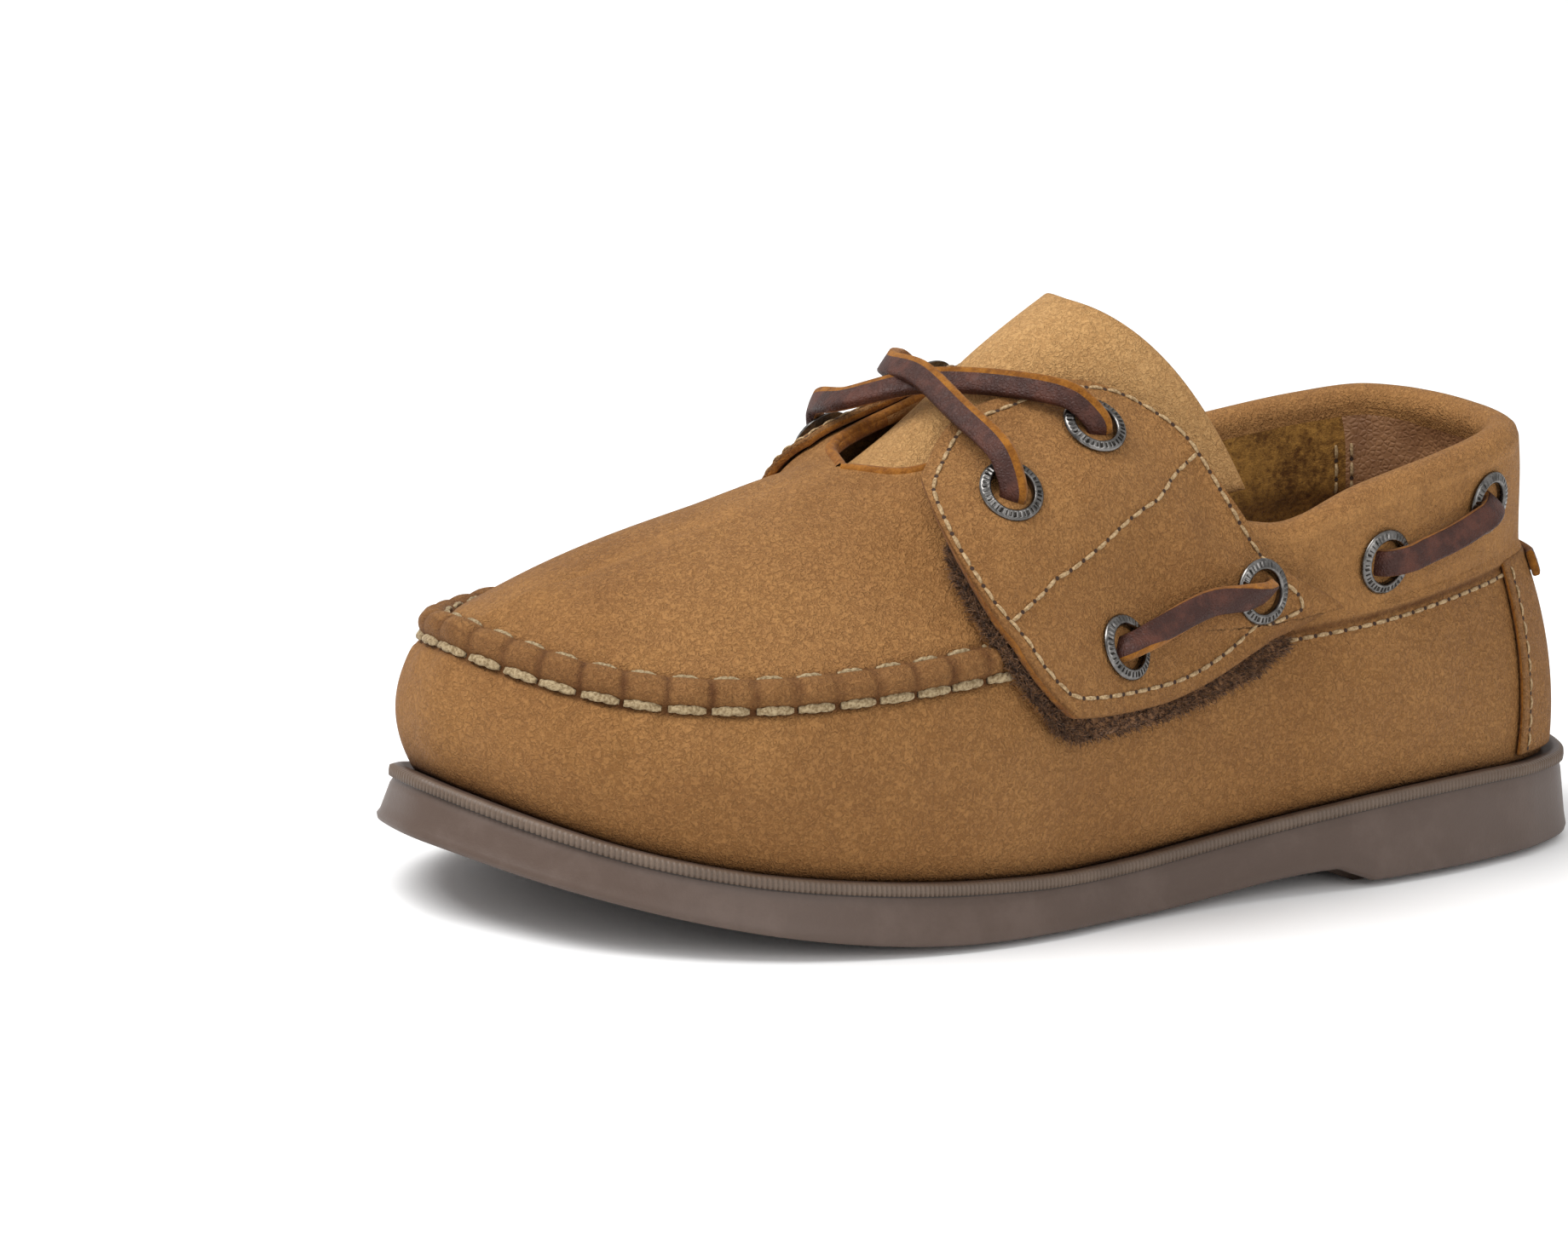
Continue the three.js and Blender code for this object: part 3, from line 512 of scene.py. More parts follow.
class Paint:
    """One Principled material with nodes that are added to it."""

    def __init__(self, name, colour, roughness, **sockets):
        self.material = bpy.data.materials.new(name)
        self.material.use_nodes = True
        self.tree = self.material.node_tree
        self.shader = self.tree.nodes["Principled BSDF"]
        self.shader.inputs["Base Color"].default_value = (*colour, 1)
        self.shader.inputs["Roughness"].default_value = roughness
        for key, value in sockets.items():
            self.shader.inputs[key.replace("_", " ")].default_value = value
        self.place = self.node("ShaderNodeTexCoord", {}, out="Object")

    def node(self, kind, inputs, out=0, **settings):
        made = self.tree.nodes.new(kind)
        for key, value in settings.items():
            setattr(made, key, value)
        for key, value in inputs.items():
            if isinstance(value, Value):
                self.tree.links.new(value.socket, made.inputs[key])
            else:
                made.inputs[key].default_value = value
        return Value(self, made.outputs[out])

    def noise(self, size, detail=3, roughness=0.55, distortion=0.0):
        """Noise whose blobs are about size millimetres across."""
        inputs = {"Vector": self.place, "Scale": 1 / (size * MM), "Detail": detail}
        inputs.update({"Roughness": roughness, "Distortion": distortion})
        return self.node("ShaderNodeTexNoise", inputs, out="Fac")

    def cells(self, size):
        """The distance to the edges of cells, for the fine net of smooth leather."""
        inputs = {"Vector": self.place, "Scale": 1 / (size * MM)}
        return self.node("ShaderNodeTexVoronoi", inputs, out="Distance", feature="DISTANCE_TO_EDGE")

    def painted(self, name):
        """A number painted on the mesh's points."""
        return self.node("ShaderNodeAttribute", {}, out="Fac", attribute_name=name)

    def blend(self, factor, a, b):
        """A colour between two."""
        inputs = {"Factor": factor}
        for key, value in ((6, a), (7, b)):
            inputs[key] = value if isinstance(value, Value) else (*value, 1)
        return self.node("ShaderNodeMix", inputs, out=2, data_type="RGBA")

    def colour(self, value):
        self.tree.links.new(value.socket, self.shader.inputs["Base Color"])

    def rough(self, value):
        self.tree.links.new(value.socket, self.shader.inputs["Roughness"])

    def bump(self, height, depth):
        """Bump from a height of 0 to 1 that is depth millimetres deep."""
        inputs = {"Height": height, "Strength": 1.0, "Distance": depth * MM}
        made = self.node("ShaderNodeBump", inputs, out="Normal")
        self.tree.links.new(made.socket, self.shader.inputs["Normal"])


print("materials so far:", len(bpy.data.materials))

# %% [markdown]
# ## The leathers
#
# Tan nubuck is mottled and finely grained, lighter where it is scuffed and darker near seams, which is
# painted shade. The mesh carries two painted numbers for it: shade, a painted shade near seams and the
# sole, and a second one for pale scuffs and a painted highlight on the collar. Its grain is a net of small
# worms, which bend noise gives; their tops are painted lighter and their valleys darker, as painted
# highlight and shade. The lining is suede, and smooth at the heel.

# %% The leathers


def nubuck(name, pale, deep, shade_tone):
    paint = Paint(name, pale, 0.8, Specular_IOR_Level=0.2)
    clouds = paint.noise(30, 4).between(0.36, 0.66)
    streaks = paint.noise(6, 5, 0.65, 0.6).between(0.35, 0.7)
    body = paint.blend(clouds * 0.6 + streaks * 0.4, deep, pale)
    worms = paint.noise(0.72, 2, 0.5, 1.6)
    creased = worms.between(0.38, 0.6)
    bright = tuple(min(1, c * 1.32) for c in pale)
    # Painted highlight on the grain's tops and painted shade in its valleys, from the same worms as the
    # bump.
    grain_highlit = paint.blend(creased * 0.34, body, bright)
    sunk = paint.blend((1 - creased) * 0.62, grain_highlit, deep)
    shade = paint.painted("shade")
    # Painted shade: the shade number darkens the leather towards its shade tone by the seams, sole and
    # edges.
    shaded_body = paint.blend((shade * (0.8 + streaks * 0.4)).between(0.0, 1.15), sunk, shade_tone)
    # Pale scuffs, and a painted highlight on the collar's band, from the second painted number.
    scuffed_and_highlit = paint.blend(paint.painted("wear_and_highlight") * (0.4 + streaks * 0.6), shaded_body, bright)
    paint.colour(scuffed_and_highlit)
    paint.rough(0.7 + streaks * 0.15)
    wrinkle = paint.noise(3.2, 3, 0.6, 1.2)
    paint.bump(worms + wrinkle * 0.6, 0.6)
    return paint.material


def suede(name, pale, deep):
    paint = Paint(name, pale, 0.95, Sheen_Weight=0.08, Sheen_Roughness=0.5, Specular_IOR_Level=0.12)
    nap = paint.noise(1.1, 4, 0.7)
    clouds = paint.noise(7, 3)
    paint.colour(paint.blend((nap * 0.6 + clouds * 0.4).between(0.35, 0.65), deep, pale))
    paint.bump(nap + paint.noise(0.3, 2) * 0.5, 0.35)
    return paint.material


def smooth_lining(name, pale, deep):
    paint = Paint(name, pale, 0.5, Specular_IOR_Level=0.4)
    paint.colour(paint.blend(paint.noise(9, 4).between(0.35, 0.65), deep, pale))
    paint.rough(0.42 + paint.noise(4, 3) * 0.2)
    paint.bump(paint.cells(0.9).between(0, 0.3) + paint.noise(2, 3) * 0.5, 0.08)
    return paint.material


print("leathers: nubuck, suede and smooth lining")

# %% [markdown]
# ## The rubbers
#
# Sole rubber is matte and a little dusty in patches. The tread has fine zigzag cuts, as deck shoes have
# for a wet floor. They are so fine that bump shows them well enough, with painted shade in them, and
# nobody looks there long.

# %% The rubbers


def rubber(name, colour, dusty):
    paint = Paint(name, colour, 0.5, Specular_IOR_Level=0.42)
    clouds = paint.noise(12, 5, 0.65)
    paint.colour(paint.blend(clouds.between(0.42, 0.72) * 0.45, colour, dusty))
    paint.rough(0.36 + clouds * 0.24)
    paint.bump(paint.noise(0.5, 3) * 0.6 + paint.noise(3.5, 3) * 0.4, 0.06)
    return paint.material


ZIGZAG_WIDTH = 9
CUT_PITCH = 4.2


def tread(name, colour, groove):
    paint = Paint(name, colour, 0.6, Specular_IOR_Level=0.3)
    split = paint.node("ShaderNodeSeparateXYZ", {"Vector": paint.place}, out="X")
    ahead, aside = split, Value(paint, split.socket.node.outputs["Y"])
    zigzag = ((aside / (ZIGZAG_WIDTH * MM)).fraction() - 0.5).size() * 0.9
    line = ((ahead / (CUT_PITCH * MM) + zigzag).fraction() - 0.5).size()
    cut = line.between(0.03, 0.09)
    # Painted shade in the cuts: they take the darker groove colour.
    paint.colour(paint.blend(cut, groove, colour))
    paint.bump(cut, 0.5)
    return paint.material


print("rubbers: plain and cut")

# %% [markdown]
# ## Laces, threads, metal and pile
#
# The laces are thongs with a waxed dark grain side, and their cut sides are golden suede. The eyelets
# are dark nickel that is worn bright in patches.

# %% Laces, threads, metal and pile


def waxed(name, pale, deep):
    paint = Paint(name, deep, 0.5, Specular_IOR_Level=0.28)
    blotches = paint.noise(3.5, 4, 0.6)
    paint.colour(paint.blend(blotches.between(0.4, 0.7), deep, pale))
    paint.rough(0.44 + blotches * 0.2)
    paint.bump(paint.cells(0.6).between(0, 0.3) + paint.noise(1.5, 3), 0.08)
    return paint.material


def thread(name, pale, deep):
    paint = Paint(name, pale, 0.75, Sheen_Weight=0.05, Specular_IOR_Level=0.2)
    ply = paint.noise(0.45, 2)
    paint.colour(paint.blend(ply.between(0.3, 0.7), deep, pale))
    paint.bump(ply, 0.12)
    return paint.material


def metal(name, pale, deep):
    paint = Paint(name, pale, 0.35, Metallic=1.0)
    wear = paint.noise(1.6, 4, 0.6)
    paint.colour(paint.blend(wear.between(0.35, 0.7), deep, pale))
    paint.rough(0.2 + wear * 0.16)
    return paint.material


def pile(name, pale, deep):
    paint = Paint(name, pale, 0.95, Sheen_Weight=0.1, Specular_IOR_Level=0.15)
    tuft = paint.noise(0.8, 3, 0.7)
    paint.colour(paint.blend(tuft.between(0.35, 0.65), deep, pale))
    paint.bump(tuft, 0.5)
    return paint.material


print("small things: lace, thread, metal and pile")

# %% [markdown]
# ## The colours
#
# Each kind is mixed here with its pale and its deep tone, as they were judged.

# %% The colours
tan = nubuck("tan nubuck", (0.287, 0.142, 0.047), (0.184, 0.08, 0.022), (0.08, 0.028, 0.007))
# The tongue's nubuck is paler: partly its own lighter leather and partly painted light, as its top is lit
# more strongly.
pale_and_lit_tan = nubuck("tongue nubuck", (0.45, 0.26, 0.104), (0.345, 0.182, 0.064), (0.14, 0.055, 0.015))
raw = suede("raw edge", (0.3, 0.118, 0.018), (0.15, 0.05, 0.008))
lining_suede = suede("lining suede", (0.33, 0.165, 0.036), (0.085, 0.033, 0.007))
lining_smooth = smooth_lining("heel lining", (0.27, 0.132, 0.058), (0.19, 0.086, 0.036))
sole_rubber = rubber("sole rubber", (0.074, 0.046, 0.033), (0.12, 0.083, 0.066))
# The rim's rubber is lighter: partly its own lighter rubber and partly a painted highlight on its beads.
rim_rubber_and_highlight = rubber("sole rim", (0.105, 0.07, 0.048), (0.17, 0.12, 0.086))
# The groove under the rim is painted almost black, as painted shade in it.
rim_groove_shade = rubber("rim groove shade", (0.03, 0.019, 0.013), (0.05, 0.034, 0.025))
sole_tread = tread("sole tread", (0.07, 0.048, 0.04), (0.03, 0.02, 0.017))
lace_grain = waxed("lace grain", (0.078, 0.025, 0.015), (0.036, 0.011, 0.007))
lace_suede = suede("lace reverse", (0.3, 0.118, 0.016), (0.15, 0.052, 0.007))
thick_thread = thread("seam thread", (0.36, 0.275, 0.16), (0.17, 0.115, 0.055))
fine_thread = thread("fine thread", (0.44, 0.31, 0.17), (0.22, 0.14, 0.065))
nickel = metal("dark nickel", (0.22, 0.21, 0.2), (0.1, 0.095, 0.09))
tarnish = metal("tarnished nickel", (0.05, 0.045, 0.04), (0.02, 0.018, 0.016))
loops = pile("loop pile", (0.23, 0.115, 0.052), (0.04, 0.017, 0.008))
# The shade in the needle holes, painted as dark discs.
hole_shade = Paint("needle hole", (0.03, 0.012, 0.005), 0.9).material
print("materials:", len(bpy.data.materials))

# %% [markdown]
# ## Mesh helpers
#
# Every soft piece is a grid of points that was worked out with numpy, so it can be exactly as fine as
# it needs to be. A sheet is a closed solid between two such grids, with its rim in a second material,
# as cut leather has. Modifiers could thicken and round it, but then stitches could not find its face.

# %% Mesh helpers


def around_circle(count):
    return np.linspace(0, 2 * math.pi, count, endpoint=False)


def piece(name, points, faces, materials, replaces=(), index=None, attributes=None):
    name = name.replace(" ", "_")
    mesh = bpy.data.meshes.new(name)
    mesh.from_pydata((np.asarray(points) * MM).tolist(), [], [list(map(int, f)) for f in faces])
    for material in materials:
        mesh.materials.append(material)
    mesh.polygons.foreach_set("use_smooth", np.ones(len(mesh.polygons), bool))
    if index is not None:
        mesh.polygons.foreach_set("material_index", np.asarray(index, dtype=np.int32))
    for key, values in (attributes or {}).items():
        layer = mesh.attributes.new(key, "FLOAT", "POINT")
        layer.data.foreach_set("value", np.asarray(values, dtype=np.float32).ravel())
    mesh.update()
    made = bpy.data.objects.new(name, mesh)
    bpy.context.scene.collection.objects.link(made)
    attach(made, "root")
    for node in replaces:
        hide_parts(node)
    return made


def quads(rows, columns, wrap=False):
    """Faces of a grid of points, row by row."""
    last = columns if wrap else columns - 1
    i, j = np.meshgrid(np.arange(rows - 1), np.arange(last), indexing="ij")
    a = i * columns + j
    b = i * columns + (j + 1) % columns
    return np.stack([a, b, b + columns, a + columns], -1).reshape(-1, 4)


print("faces of a grid of 3 by 4 points:", len(quads(3, 4)))

# %% [markdown]
# ## Sheets
#
# A sheet has fine rows close to its edges, and its thickness falls off there in a quarter circle. That
# is how the edge of cut leather looks when it has been rubbed.

# %% Sheets


def spaced(length, step, ends=(0.25, 0.55, 0.9, 1.4)):
    """Shares of a length with extra lines close to both ends, so that an edge can be rounded."""
    inner = np.linspace(ends[-1], length - ends[-1], max(3, int(length / step)))
    near = np.array((0,) + tuple(ends[:-1]))
    return np.concatenate([near, inner, (length - near)[::-1]]) / length


def sheet(name, at, long, wide, step, materials, slot, replaces=(), rounding=0.9):
    """A closed sheet over at(s, t, k), long by wide millimetres, with its edges rounded."""
    s, t = np.meshgrid(spaced(long, step), spaced(wide, step), indexing="ij")
    to_edge = np.minimum(np.minimum(s, 1 - s) * long, np.minimum(t, 1 - t) * wide)
    full = np.sqrt(1 - (1 - np.clip(to_edge / rounding, 0, 1)) ** 2)
    full = 0.35 + 0.65 * full
    low, high = at(s, t, 0), at(s, t, 1)
    middle = (low + high) / 2
    half = (high - low) / 2 * full[..., None]
    rows, columns = s.shape
    points = np.concatenate([(middle + half).reshape(-1, 3), (middle - half).reshape(-1, 3)])
    top = quads(rows, columns)
    count = rows * columns
    under = top[:, ::-1] + count
    rim = np.concatenate([
        np.arange(columns),
        np.arange(1, rows) * columns + columns - 1,
        (rows - 1) * columns + np.arange(columns - 2, -1, -1),
        np.arange(rows - 2, 0, -1) * columns,
    ])
    after = np.roll(rim, -1)
    side = np.stack([after, rim, rim + count, after + count], -1)
    faces = np.concatenate([top, under, side])
    index = np.concatenate([np.zeros(len(top)), np.ones(len(under) + len(side))])
    # Painted shade, darker towards the sheet's edges.
    dark = np.exp(-to_edge / 1.6) * 0.5
    attributes = {"shade": np.concatenate([dark.ravel()] * 2), "wear_and_highlight": np.zeros(2 * count)}
    return piece(name, points, faces, materials, replaces, index, attributes)


print("rows across 10 mm:", len(spaced(10, 1)))

# %% [markdown]
# ## A row of stitches
#
# Each stitch is a short thread of its own that comes up through the leather, arches and goes down
# again. A bump line would be cheaper, but the stitches of this shoe are thick and throw small shadows.
# The thick ones are twisted from plies, which show as slanting grooves. One line is one mesh.

# %% A row of stitches


def tube_rings(centres, aside, up, outline):
    return (
        centres[:, None]
        + aside[:, None] * outline[None, :, :1]
        + up[:, None] * outline[None, :, 1:]
    )


def capsule_row(name, ends, ups, radius, slot, material, squash=0.75, sides=8, bow=0.35, turns=0):
    """Stitches: each is a thread that comes out of the leather, arches and goes in again."""
    first, last = ends
    way = unit(last - first)
    aside = unit(np.cross(way, ups))
    rise = unit(np.cross(aside, way))
    angles = around_circle(sides)
    steps = 8 if not turns else 22
    along = (1 - np.cos(np.linspace(0, math.pi, steps))) / 2
    girth = 0.45 + 0.55 * np.sin(math.pi * np.clip(along, 0.02, 0.98)) ** 0.35
    arch = bow * (np.sin(math.pi * np.clip(along, 0.001, 0.999)) ** 0.6 - 0.5)
    centres = first[:, None] + (last - first)[:, None] * along[None, :, None]
    centres = centres + rise[:, None] * arch[None, :, None]
    ply = 1 - 0.3 * bool(turns) * abs(np.sin(angles[None] - math.pi * turns * along[:, None])) ** 6
    round_x = (np.cos(angles)[None] * girth[:, None] * ply * radius)[None, :, :, None]
    round_y = (np.sin(angles)[None] * girth[:, None] * ply * radius * squash)[None, :, :, None]
    points = centres[:, :, None] + aside[:, None, None] * round_x + rise[:, None, None] * round_y
    count, per = len(first), len(along) * sides
    body = quads(len(along), sides, wrap=True)
    starts = np.arange(count) * per
    faces = (body[None] + starts[:, None, None]).reshape(-1, 4).tolist()
    front = np.arange(sides)[::-1]
    back = (len(along) - 1) * sides + np.arange(sides)
    for cap_ring in (front, back):
        faces += (cap_ring[None] + starts[:, None]).tolist()
    return piece(name, points.reshape(-1, 3), faces, [material])


print("a thick stitch comes every", STITCH_PITCH, "mm")

# %% [markdown]
# ## Sewing along a line
#
# A machine sews evenly, but each stitch is a little off its place. The needle leaves a hole between
# two stitches, and the shade in it is painted as a small dark disc.

# %% Sewing along a line
HOLE_RADIUS = 0.36
THREAD_LIFT = 0.1


def pricks(name, points, ups, radius):
    """The holes that the needle left, as small discs of painted shade on the leather."""
    sides = 7
    angles = around_circle(sides)
    aside = unit(np.cross(ups, [0.31, 0.2, 0.93]))
    ahead = np.cross(ups, aside)
    ring = (
        points[:, None] + ups[:, None] * 0.04
        + aside[:, None] * (np.cos(angles) * radius)[None, :, None]
        + ahead[:, None] * (np.sin(angles) * radius)[None, :, None]
    )
    faces = (np.arange(sides)[None] + (np.arange(len(points)) * sides)[:, None]).tolist()
    return piece(name, ring.reshape(-1, 3), faces, [hole_shade])


def stitches(name, line, pitch, length, radius, material, **looks):
    """Stitches along line(t), which gives points and outward directions for t from 0 to 1."""
    fine = np.linspace(0, 1, 400)
    points, outs = line(fine)
    run = np.concatenate([[0], np.cumsum(np.linalg.norm(np.diff(points, axis=0), axis=1))])
    count = max(1, int(run[-1] / pitch))
    starts = (np.arange(count) + 0.5) * run[-1] / count
    wobble = np.random.default_rng(len(name) + count).normal(0, 0.05, (count, 2)) * pitch
    middle = starts + wobble[:, 0] * 0.3
    first, out_a = line(np.interp(middle - length / 2, run, fine))
    last, out_b = line(np.interp(middle + length / 2, run, fine))
    ends = (first + out_a * THREAD_LIFT, last + out_b * THREAD_LIFT)
    between, out_c = line(np.interp(middle + pitch / 2, run, fine))
    pricks(name + " pricks", between, out_c, HOLE_RADIUS)
    return capsule_row(name, ends, unit(out_a + out_b), radius, "tan_leather", material, **looks)


print("needle holes are", 2 * HOLE_RADIUS, "mm across")

# %% [markdown]
# ## The lines of the upper's grid
#
# The columns go round the shoe about every millimetre and one of them lies exactly at the throat. The
# rows go up the face, closer together at the belt, where the roll and the collar's step need them.

# %% The lines of the upper's grid
COLUMN_STEP = 0.95
stations = np.linspace(0, one_way[-1], int(one_way[-1] / COLUMN_STEP))
half_round = np.interp(stations, one_way, np.arange(TIP + 1))
nearest = np.argmin(abs(half_round - THROAT))
half_round[nearest] = THROAT
around = np.concatenate([half_round, half_round[-2:0:-1]])
sides = np.concatenate([np.ones(len(half_round)), -np.ones(len(half_round) - 2)])
COUNT = len(around)

ROW_BANDS = [(0, 0.82, 26), (0.82, 1.12, 44), (1.12, 1.9, 26), (1.9, 2, 6)]
outer_v = np.unique(np.round(np.concatenate([np.linspace(*rows) for rows in ROW_BANDS]), 5))
inner_v = np.linspace(2, 0, 26)
print("upper:", COUNT, "columns and", len(outer_v), "rows outside")

# %% [markdown]
# ## Where the leather is darker
#
# Beside the sole, in the valleys of the seam, between its stitches and under the collar's step the
# leather is painted darker: painted shade in those corners and recesses. The ridge of the seam and the
# lower wall of the toe are darker too. These are painted on the points by distance, since a shader
# does not know them.

# %% Where the leather is darker


def foot_shade(side, section, v):
    """Painted shade beside the sole, the moccasin seam and the collar's seam; the ridge and the toe are
    darker too.
    """
    below, above = widths(side, section)
    d = to_belt(side, section, v)
    seam = seam_mask(section)
    sole_line = np.exp(-(v * below / 3.2) ** 1.2) * 0.55
    ridge = seam * hill(d, 0.2, 2.2, 4) * 0.46
    beside = seam * (hill(d, -2.5, 0.8) * 0.8 + hill(d, 2.5, 0.6) * 0.6)
    toe = hill(section, 16, 2.2) * 0.22 * (v < 1)
    # Painted shade under the collar's step.
    collar = collar_mask(section) * hill(v, 0.935, 0.02) * 0.75
    # Painted shade in the pinches between two stitches.
    pinched = seam * pinches(seam_phase(side, section)) * hill(d, -0.2, 2.6, 4) * 0.5
    return np.clip(sole_line + ridge + beside + collar + pinched + toe, 0, 1)


print("shade at the sole:", round(float(foot_shade(1.0, 8.0, 0.0)), 2))

# %% [markdown]
# ## The shell of the upper
#
# One closed shell: up the outside from the sole, over the rim of the opening and down the inside. Past
# the throat the two sides meet on the ridge of the plug, so there the rows over the rim are left out.
# The collar is padded, and the padding fades out before the throat.

# %% The shell of the upper
PAD_FADE = 1.6


def lining_depth(section, v):
    padded = 1 - ease((section - PAD_END + PAD_FADE) / PAD_FADE)
    return WALL + (COLLAR_PAD - WALL) * padded * ease((v - 1) / 0.3)


side_grid, section_grid = np.broadcast_arrays(sides[None, :], around[None, :])
outer = on_upper(side_grid, section_grid, outer_v[:, None])
inside_grid = spread(sides[None, :], around[None, :], inner_v[:, None])
depth = lining_depth(*inside_grid[1:])[..., None]
inner = face(*inside_grid) - normal(*inside_grid) * depth
up_edge = unit(outer[-1] - outer[-2])
half_rim = (outer[-1] - inner[0]) / 2
open_column = (around < THROAT)[:, None]
rims = []
for turn in np.linspace(0, math.pi, 9)[1:-1]:
    lift = np.linalg.norm(half_rim, axis=-1, keepdims=True) * math.sin(turn) * open_column
    rims.append((outer[-1] + inner[0]) / 2 + half_rim * math.cos(turn) + up_edge * lift)
all_rows = np.concatenate([outer, np.array(rims), inner])
rows_total = len(all_rows)
faces = quads(rows_total, COUNT, wrap=True)
row_of = np.repeat(np.arange(rows_total - 1), COUNT)
column_of = np.tile(np.arange(COUNT), rows_total - 1)
rim_row = (row_of >= len(outer) - 1) & (row_of < len(outer) + len(rims))
shut = (around[column_of] >= THROAT) & (around[(column_of + 1) % COUNT] >= THROAT)
kept = ~(rim_row & shut)


def closing_ring(start, count):
    """Faces from the last ring of a grid, which starts at start, back to its first."""
    here, after = np.arange(count), (np.arange(count) + 1) % count
    return np.stack([start + here, start + after, after, here], -1)


faces = np.concatenate([faces[kept], closing_ring((rows_total - 1) * COUNT, COUNT)])[:, ::-1]
print("shell:", rows_total, "rows")

# %% [markdown]
# ## Leather, lining and cut edge
#
# Inside, the heel is lined with smooth leather and the rest with suede. Round the throat the edge is
# only cut and shows its raw brown, while the collar's edge is folded over. The toe is scuffed a little
# and the rim is worn pale by hands. The collar's band is painted lighter, a painted highlight where it
# faces up.

# %% Leather, lining and cut edge
row_kept, column_kept = row_of[kept], column_of[kept]
HEEL_LINING_END = 2.5
CUT_EDGE_START = 8.3
inside = row_kept >= len(outer) + len(rims) + 1
heel_part = around[column_kept] < HEEL_LINING_END
cut_edge = (row_kept >= len(outer) - 1) & ~inside & (around[column_kept] > CUT_EDGE_START)
index = np.where(inside, np.where(heel_part, 2, 1), np.where(cut_edge, 3, 0))
index = np.concatenate([index, np.ones(COUNT)])
shade_rows = np.zeros((rows_total, COUNT))
shade_rows[: len(outer)] = foot_shade(side_grid, section_grid, outer_v[:, None])
wear_and_highlight_rows = np.zeros((rows_total, COUNT))
wear_and_highlight_rows[: len(outer)] = hill(section_grid, 15.2, 1.1) * 0.18 * ease((outer_v[:, None] - 0.15) / 0.3)
# Painted highlight on the collar's band, lighter where it faces up.
wear_and_highlight_rows[: len(outer)] += 0.5 * collar_mask(section_grid) * ease((outer_v[:, None] - 0.94) / 0.03)
wear_and_highlight_rows[len(outer) - 3 : len(outer) + len(rims)] += 0.3
wear_and_highlight_rows = np.clip(wear_and_highlight_rows, 0, 1)


def merge_close(made, distance=0.002):
    """Joins the points that lie on each other, such as those on the plug's ridge."""
    work = bmesh.new()
    work.from_mesh(made.data)
    bmesh.ops.remove_doubles(work, verts=work.verts, dist=distance * MM)
    work.to_mesh(made.data)
    work.free()
    made.data.update()


upper = piece(
    "upper leather", all_rows.reshape(-1, 3), faces, [tan, lining_suede, lining_smooth, raw],
    ["upper"], index, {"shade": shade_rows, "wear_and_highlight": wear_and_highlight_rows},
)
merge_close(upper)
print("upper faces:", len(upper.data.polygons))

# %% [markdown]
# ## The thick stitches of the moccasin seam
#
# They are sewn by hand with a waxed, twisted thread, over the roll from the wall to the plug. So they
# follow the seam's own count, and each is a little off its place. On the plug's side only their short
# ends show.

# %% The thick stitches of the moccasin seam


def seam_stitches(name, d, length, radius, lift, bow):
    """Thick stitches at d millimetres from the belt, one for each count of the seam."""
    last = [int(seam_runs[one_side][0] / STITCH_PITCH) for one_side in (-1, 1)]
    counts = np.arange(-last[0], last[1] + 1, dtype=float)
    half = length / STITCH_PITCH / 2
    slip = np.random.default_rng(7).normal(0, 0.02, len(counts))
    found = []
    for phase in (counts + slip - half, counts + slip + half):
        side, section = seam_place(phase)
        v = from_belt(side, section, np.full_like(section, d))
        found.append((on_upper(side, section, v, lift), normal(side, section, v)))
    (first, out_a), (final, out_b) = found
    return capsule_row(
        name, (first, final), unit(out_a + out_b), radius, "tan_leather", thick_thread,
        bow=bow, sides=16, turns=2.5,
    )


seam_stitches("seam stitches", -2.3, 5.6, 0.8, 0.6, 0.5)
seam_stitches("plug stitches", 2.3, 4.0, 0.5, 0.15, 0.35)
print("seam sewn")

# %% [markdown]
# ## Fine stitches of the collar and the lining
#
# A machine sews the collar's band below its step, and the two linings together where the heel's one
# ends. A line of stitches is given by a few points on the face. Curves drawn by hand would need to be
# pressed onto the face afterwards, and these lie on it from the start.

# %% Fine stitches of the collar and the lining


def walked(path):
    """Both columns of a path, read at shares t of the count of its points."""
    path = np.array(path, float)
    knots = np.arange(len(path))

    def read_at(t):
        place = np.asarray(t) * knots[-1]
        return [np.interp(place, knots, column) for column in path.T]

    return read_at


def upper_line(side, path, out=0.0):
    """A line through (section, v) points on one side."""
    walk = walked(path)

    def line(t):
        section, v = walk(t)
        s = np.full_like(section, side)
        return on_upper(s, section, v, out), normal(s, section, v)

    return line


def inner_line(side, path):
    """A line through (section, v) points on the lining."""
    walk = walked(path)

    def line(t):
        section, v = walk(t)
        s = np.full_like(section, side)
        way = -normal(s, section, v)
        return face(s, section, v) + way * lining_depth(section, v)[..., None], way

    return line


COLLAR_PATH = [(section, 0.9) for section in (0, 1, 2, 3, 4, 5, 6, 6.6)]
for label, side in (("outer", 1), ("inner", -1)):
    collar_line = upper_line(side, COLLAR_PATH)
    stitches(label + " collar stitches", collar_line, 3.0, 2.2, 0.34, fine_thread, bow=0.25)
    for row, at_section in (("front", HEEL_LINING_END + 0.12), ("rear", HEEL_LINING_END - 0.12)):
        line = inner_line(side, [(at_section, 1.7), (at_section, 1.2), (at_section, 0.6)])
        name = " ".join([label, row, "lining", "stitches"])
        stitches(name, line, 3.0, 2.2, 0.3, fine_thread, bow=0.2)
print("collar and lining sewn")

# %% [markdown]
# ## The shapes of the flap, the pad and the eyestay
#
# These are pieces of leather sewn on the upper. Each is a table of rows from its front to its rear,
# with the place (section, v) of its upper edge, its middle and its lower edge. So they bend with the
# shoe's face for free. Cut from flat sheets and bent by a modifier, they would not lie close to it.

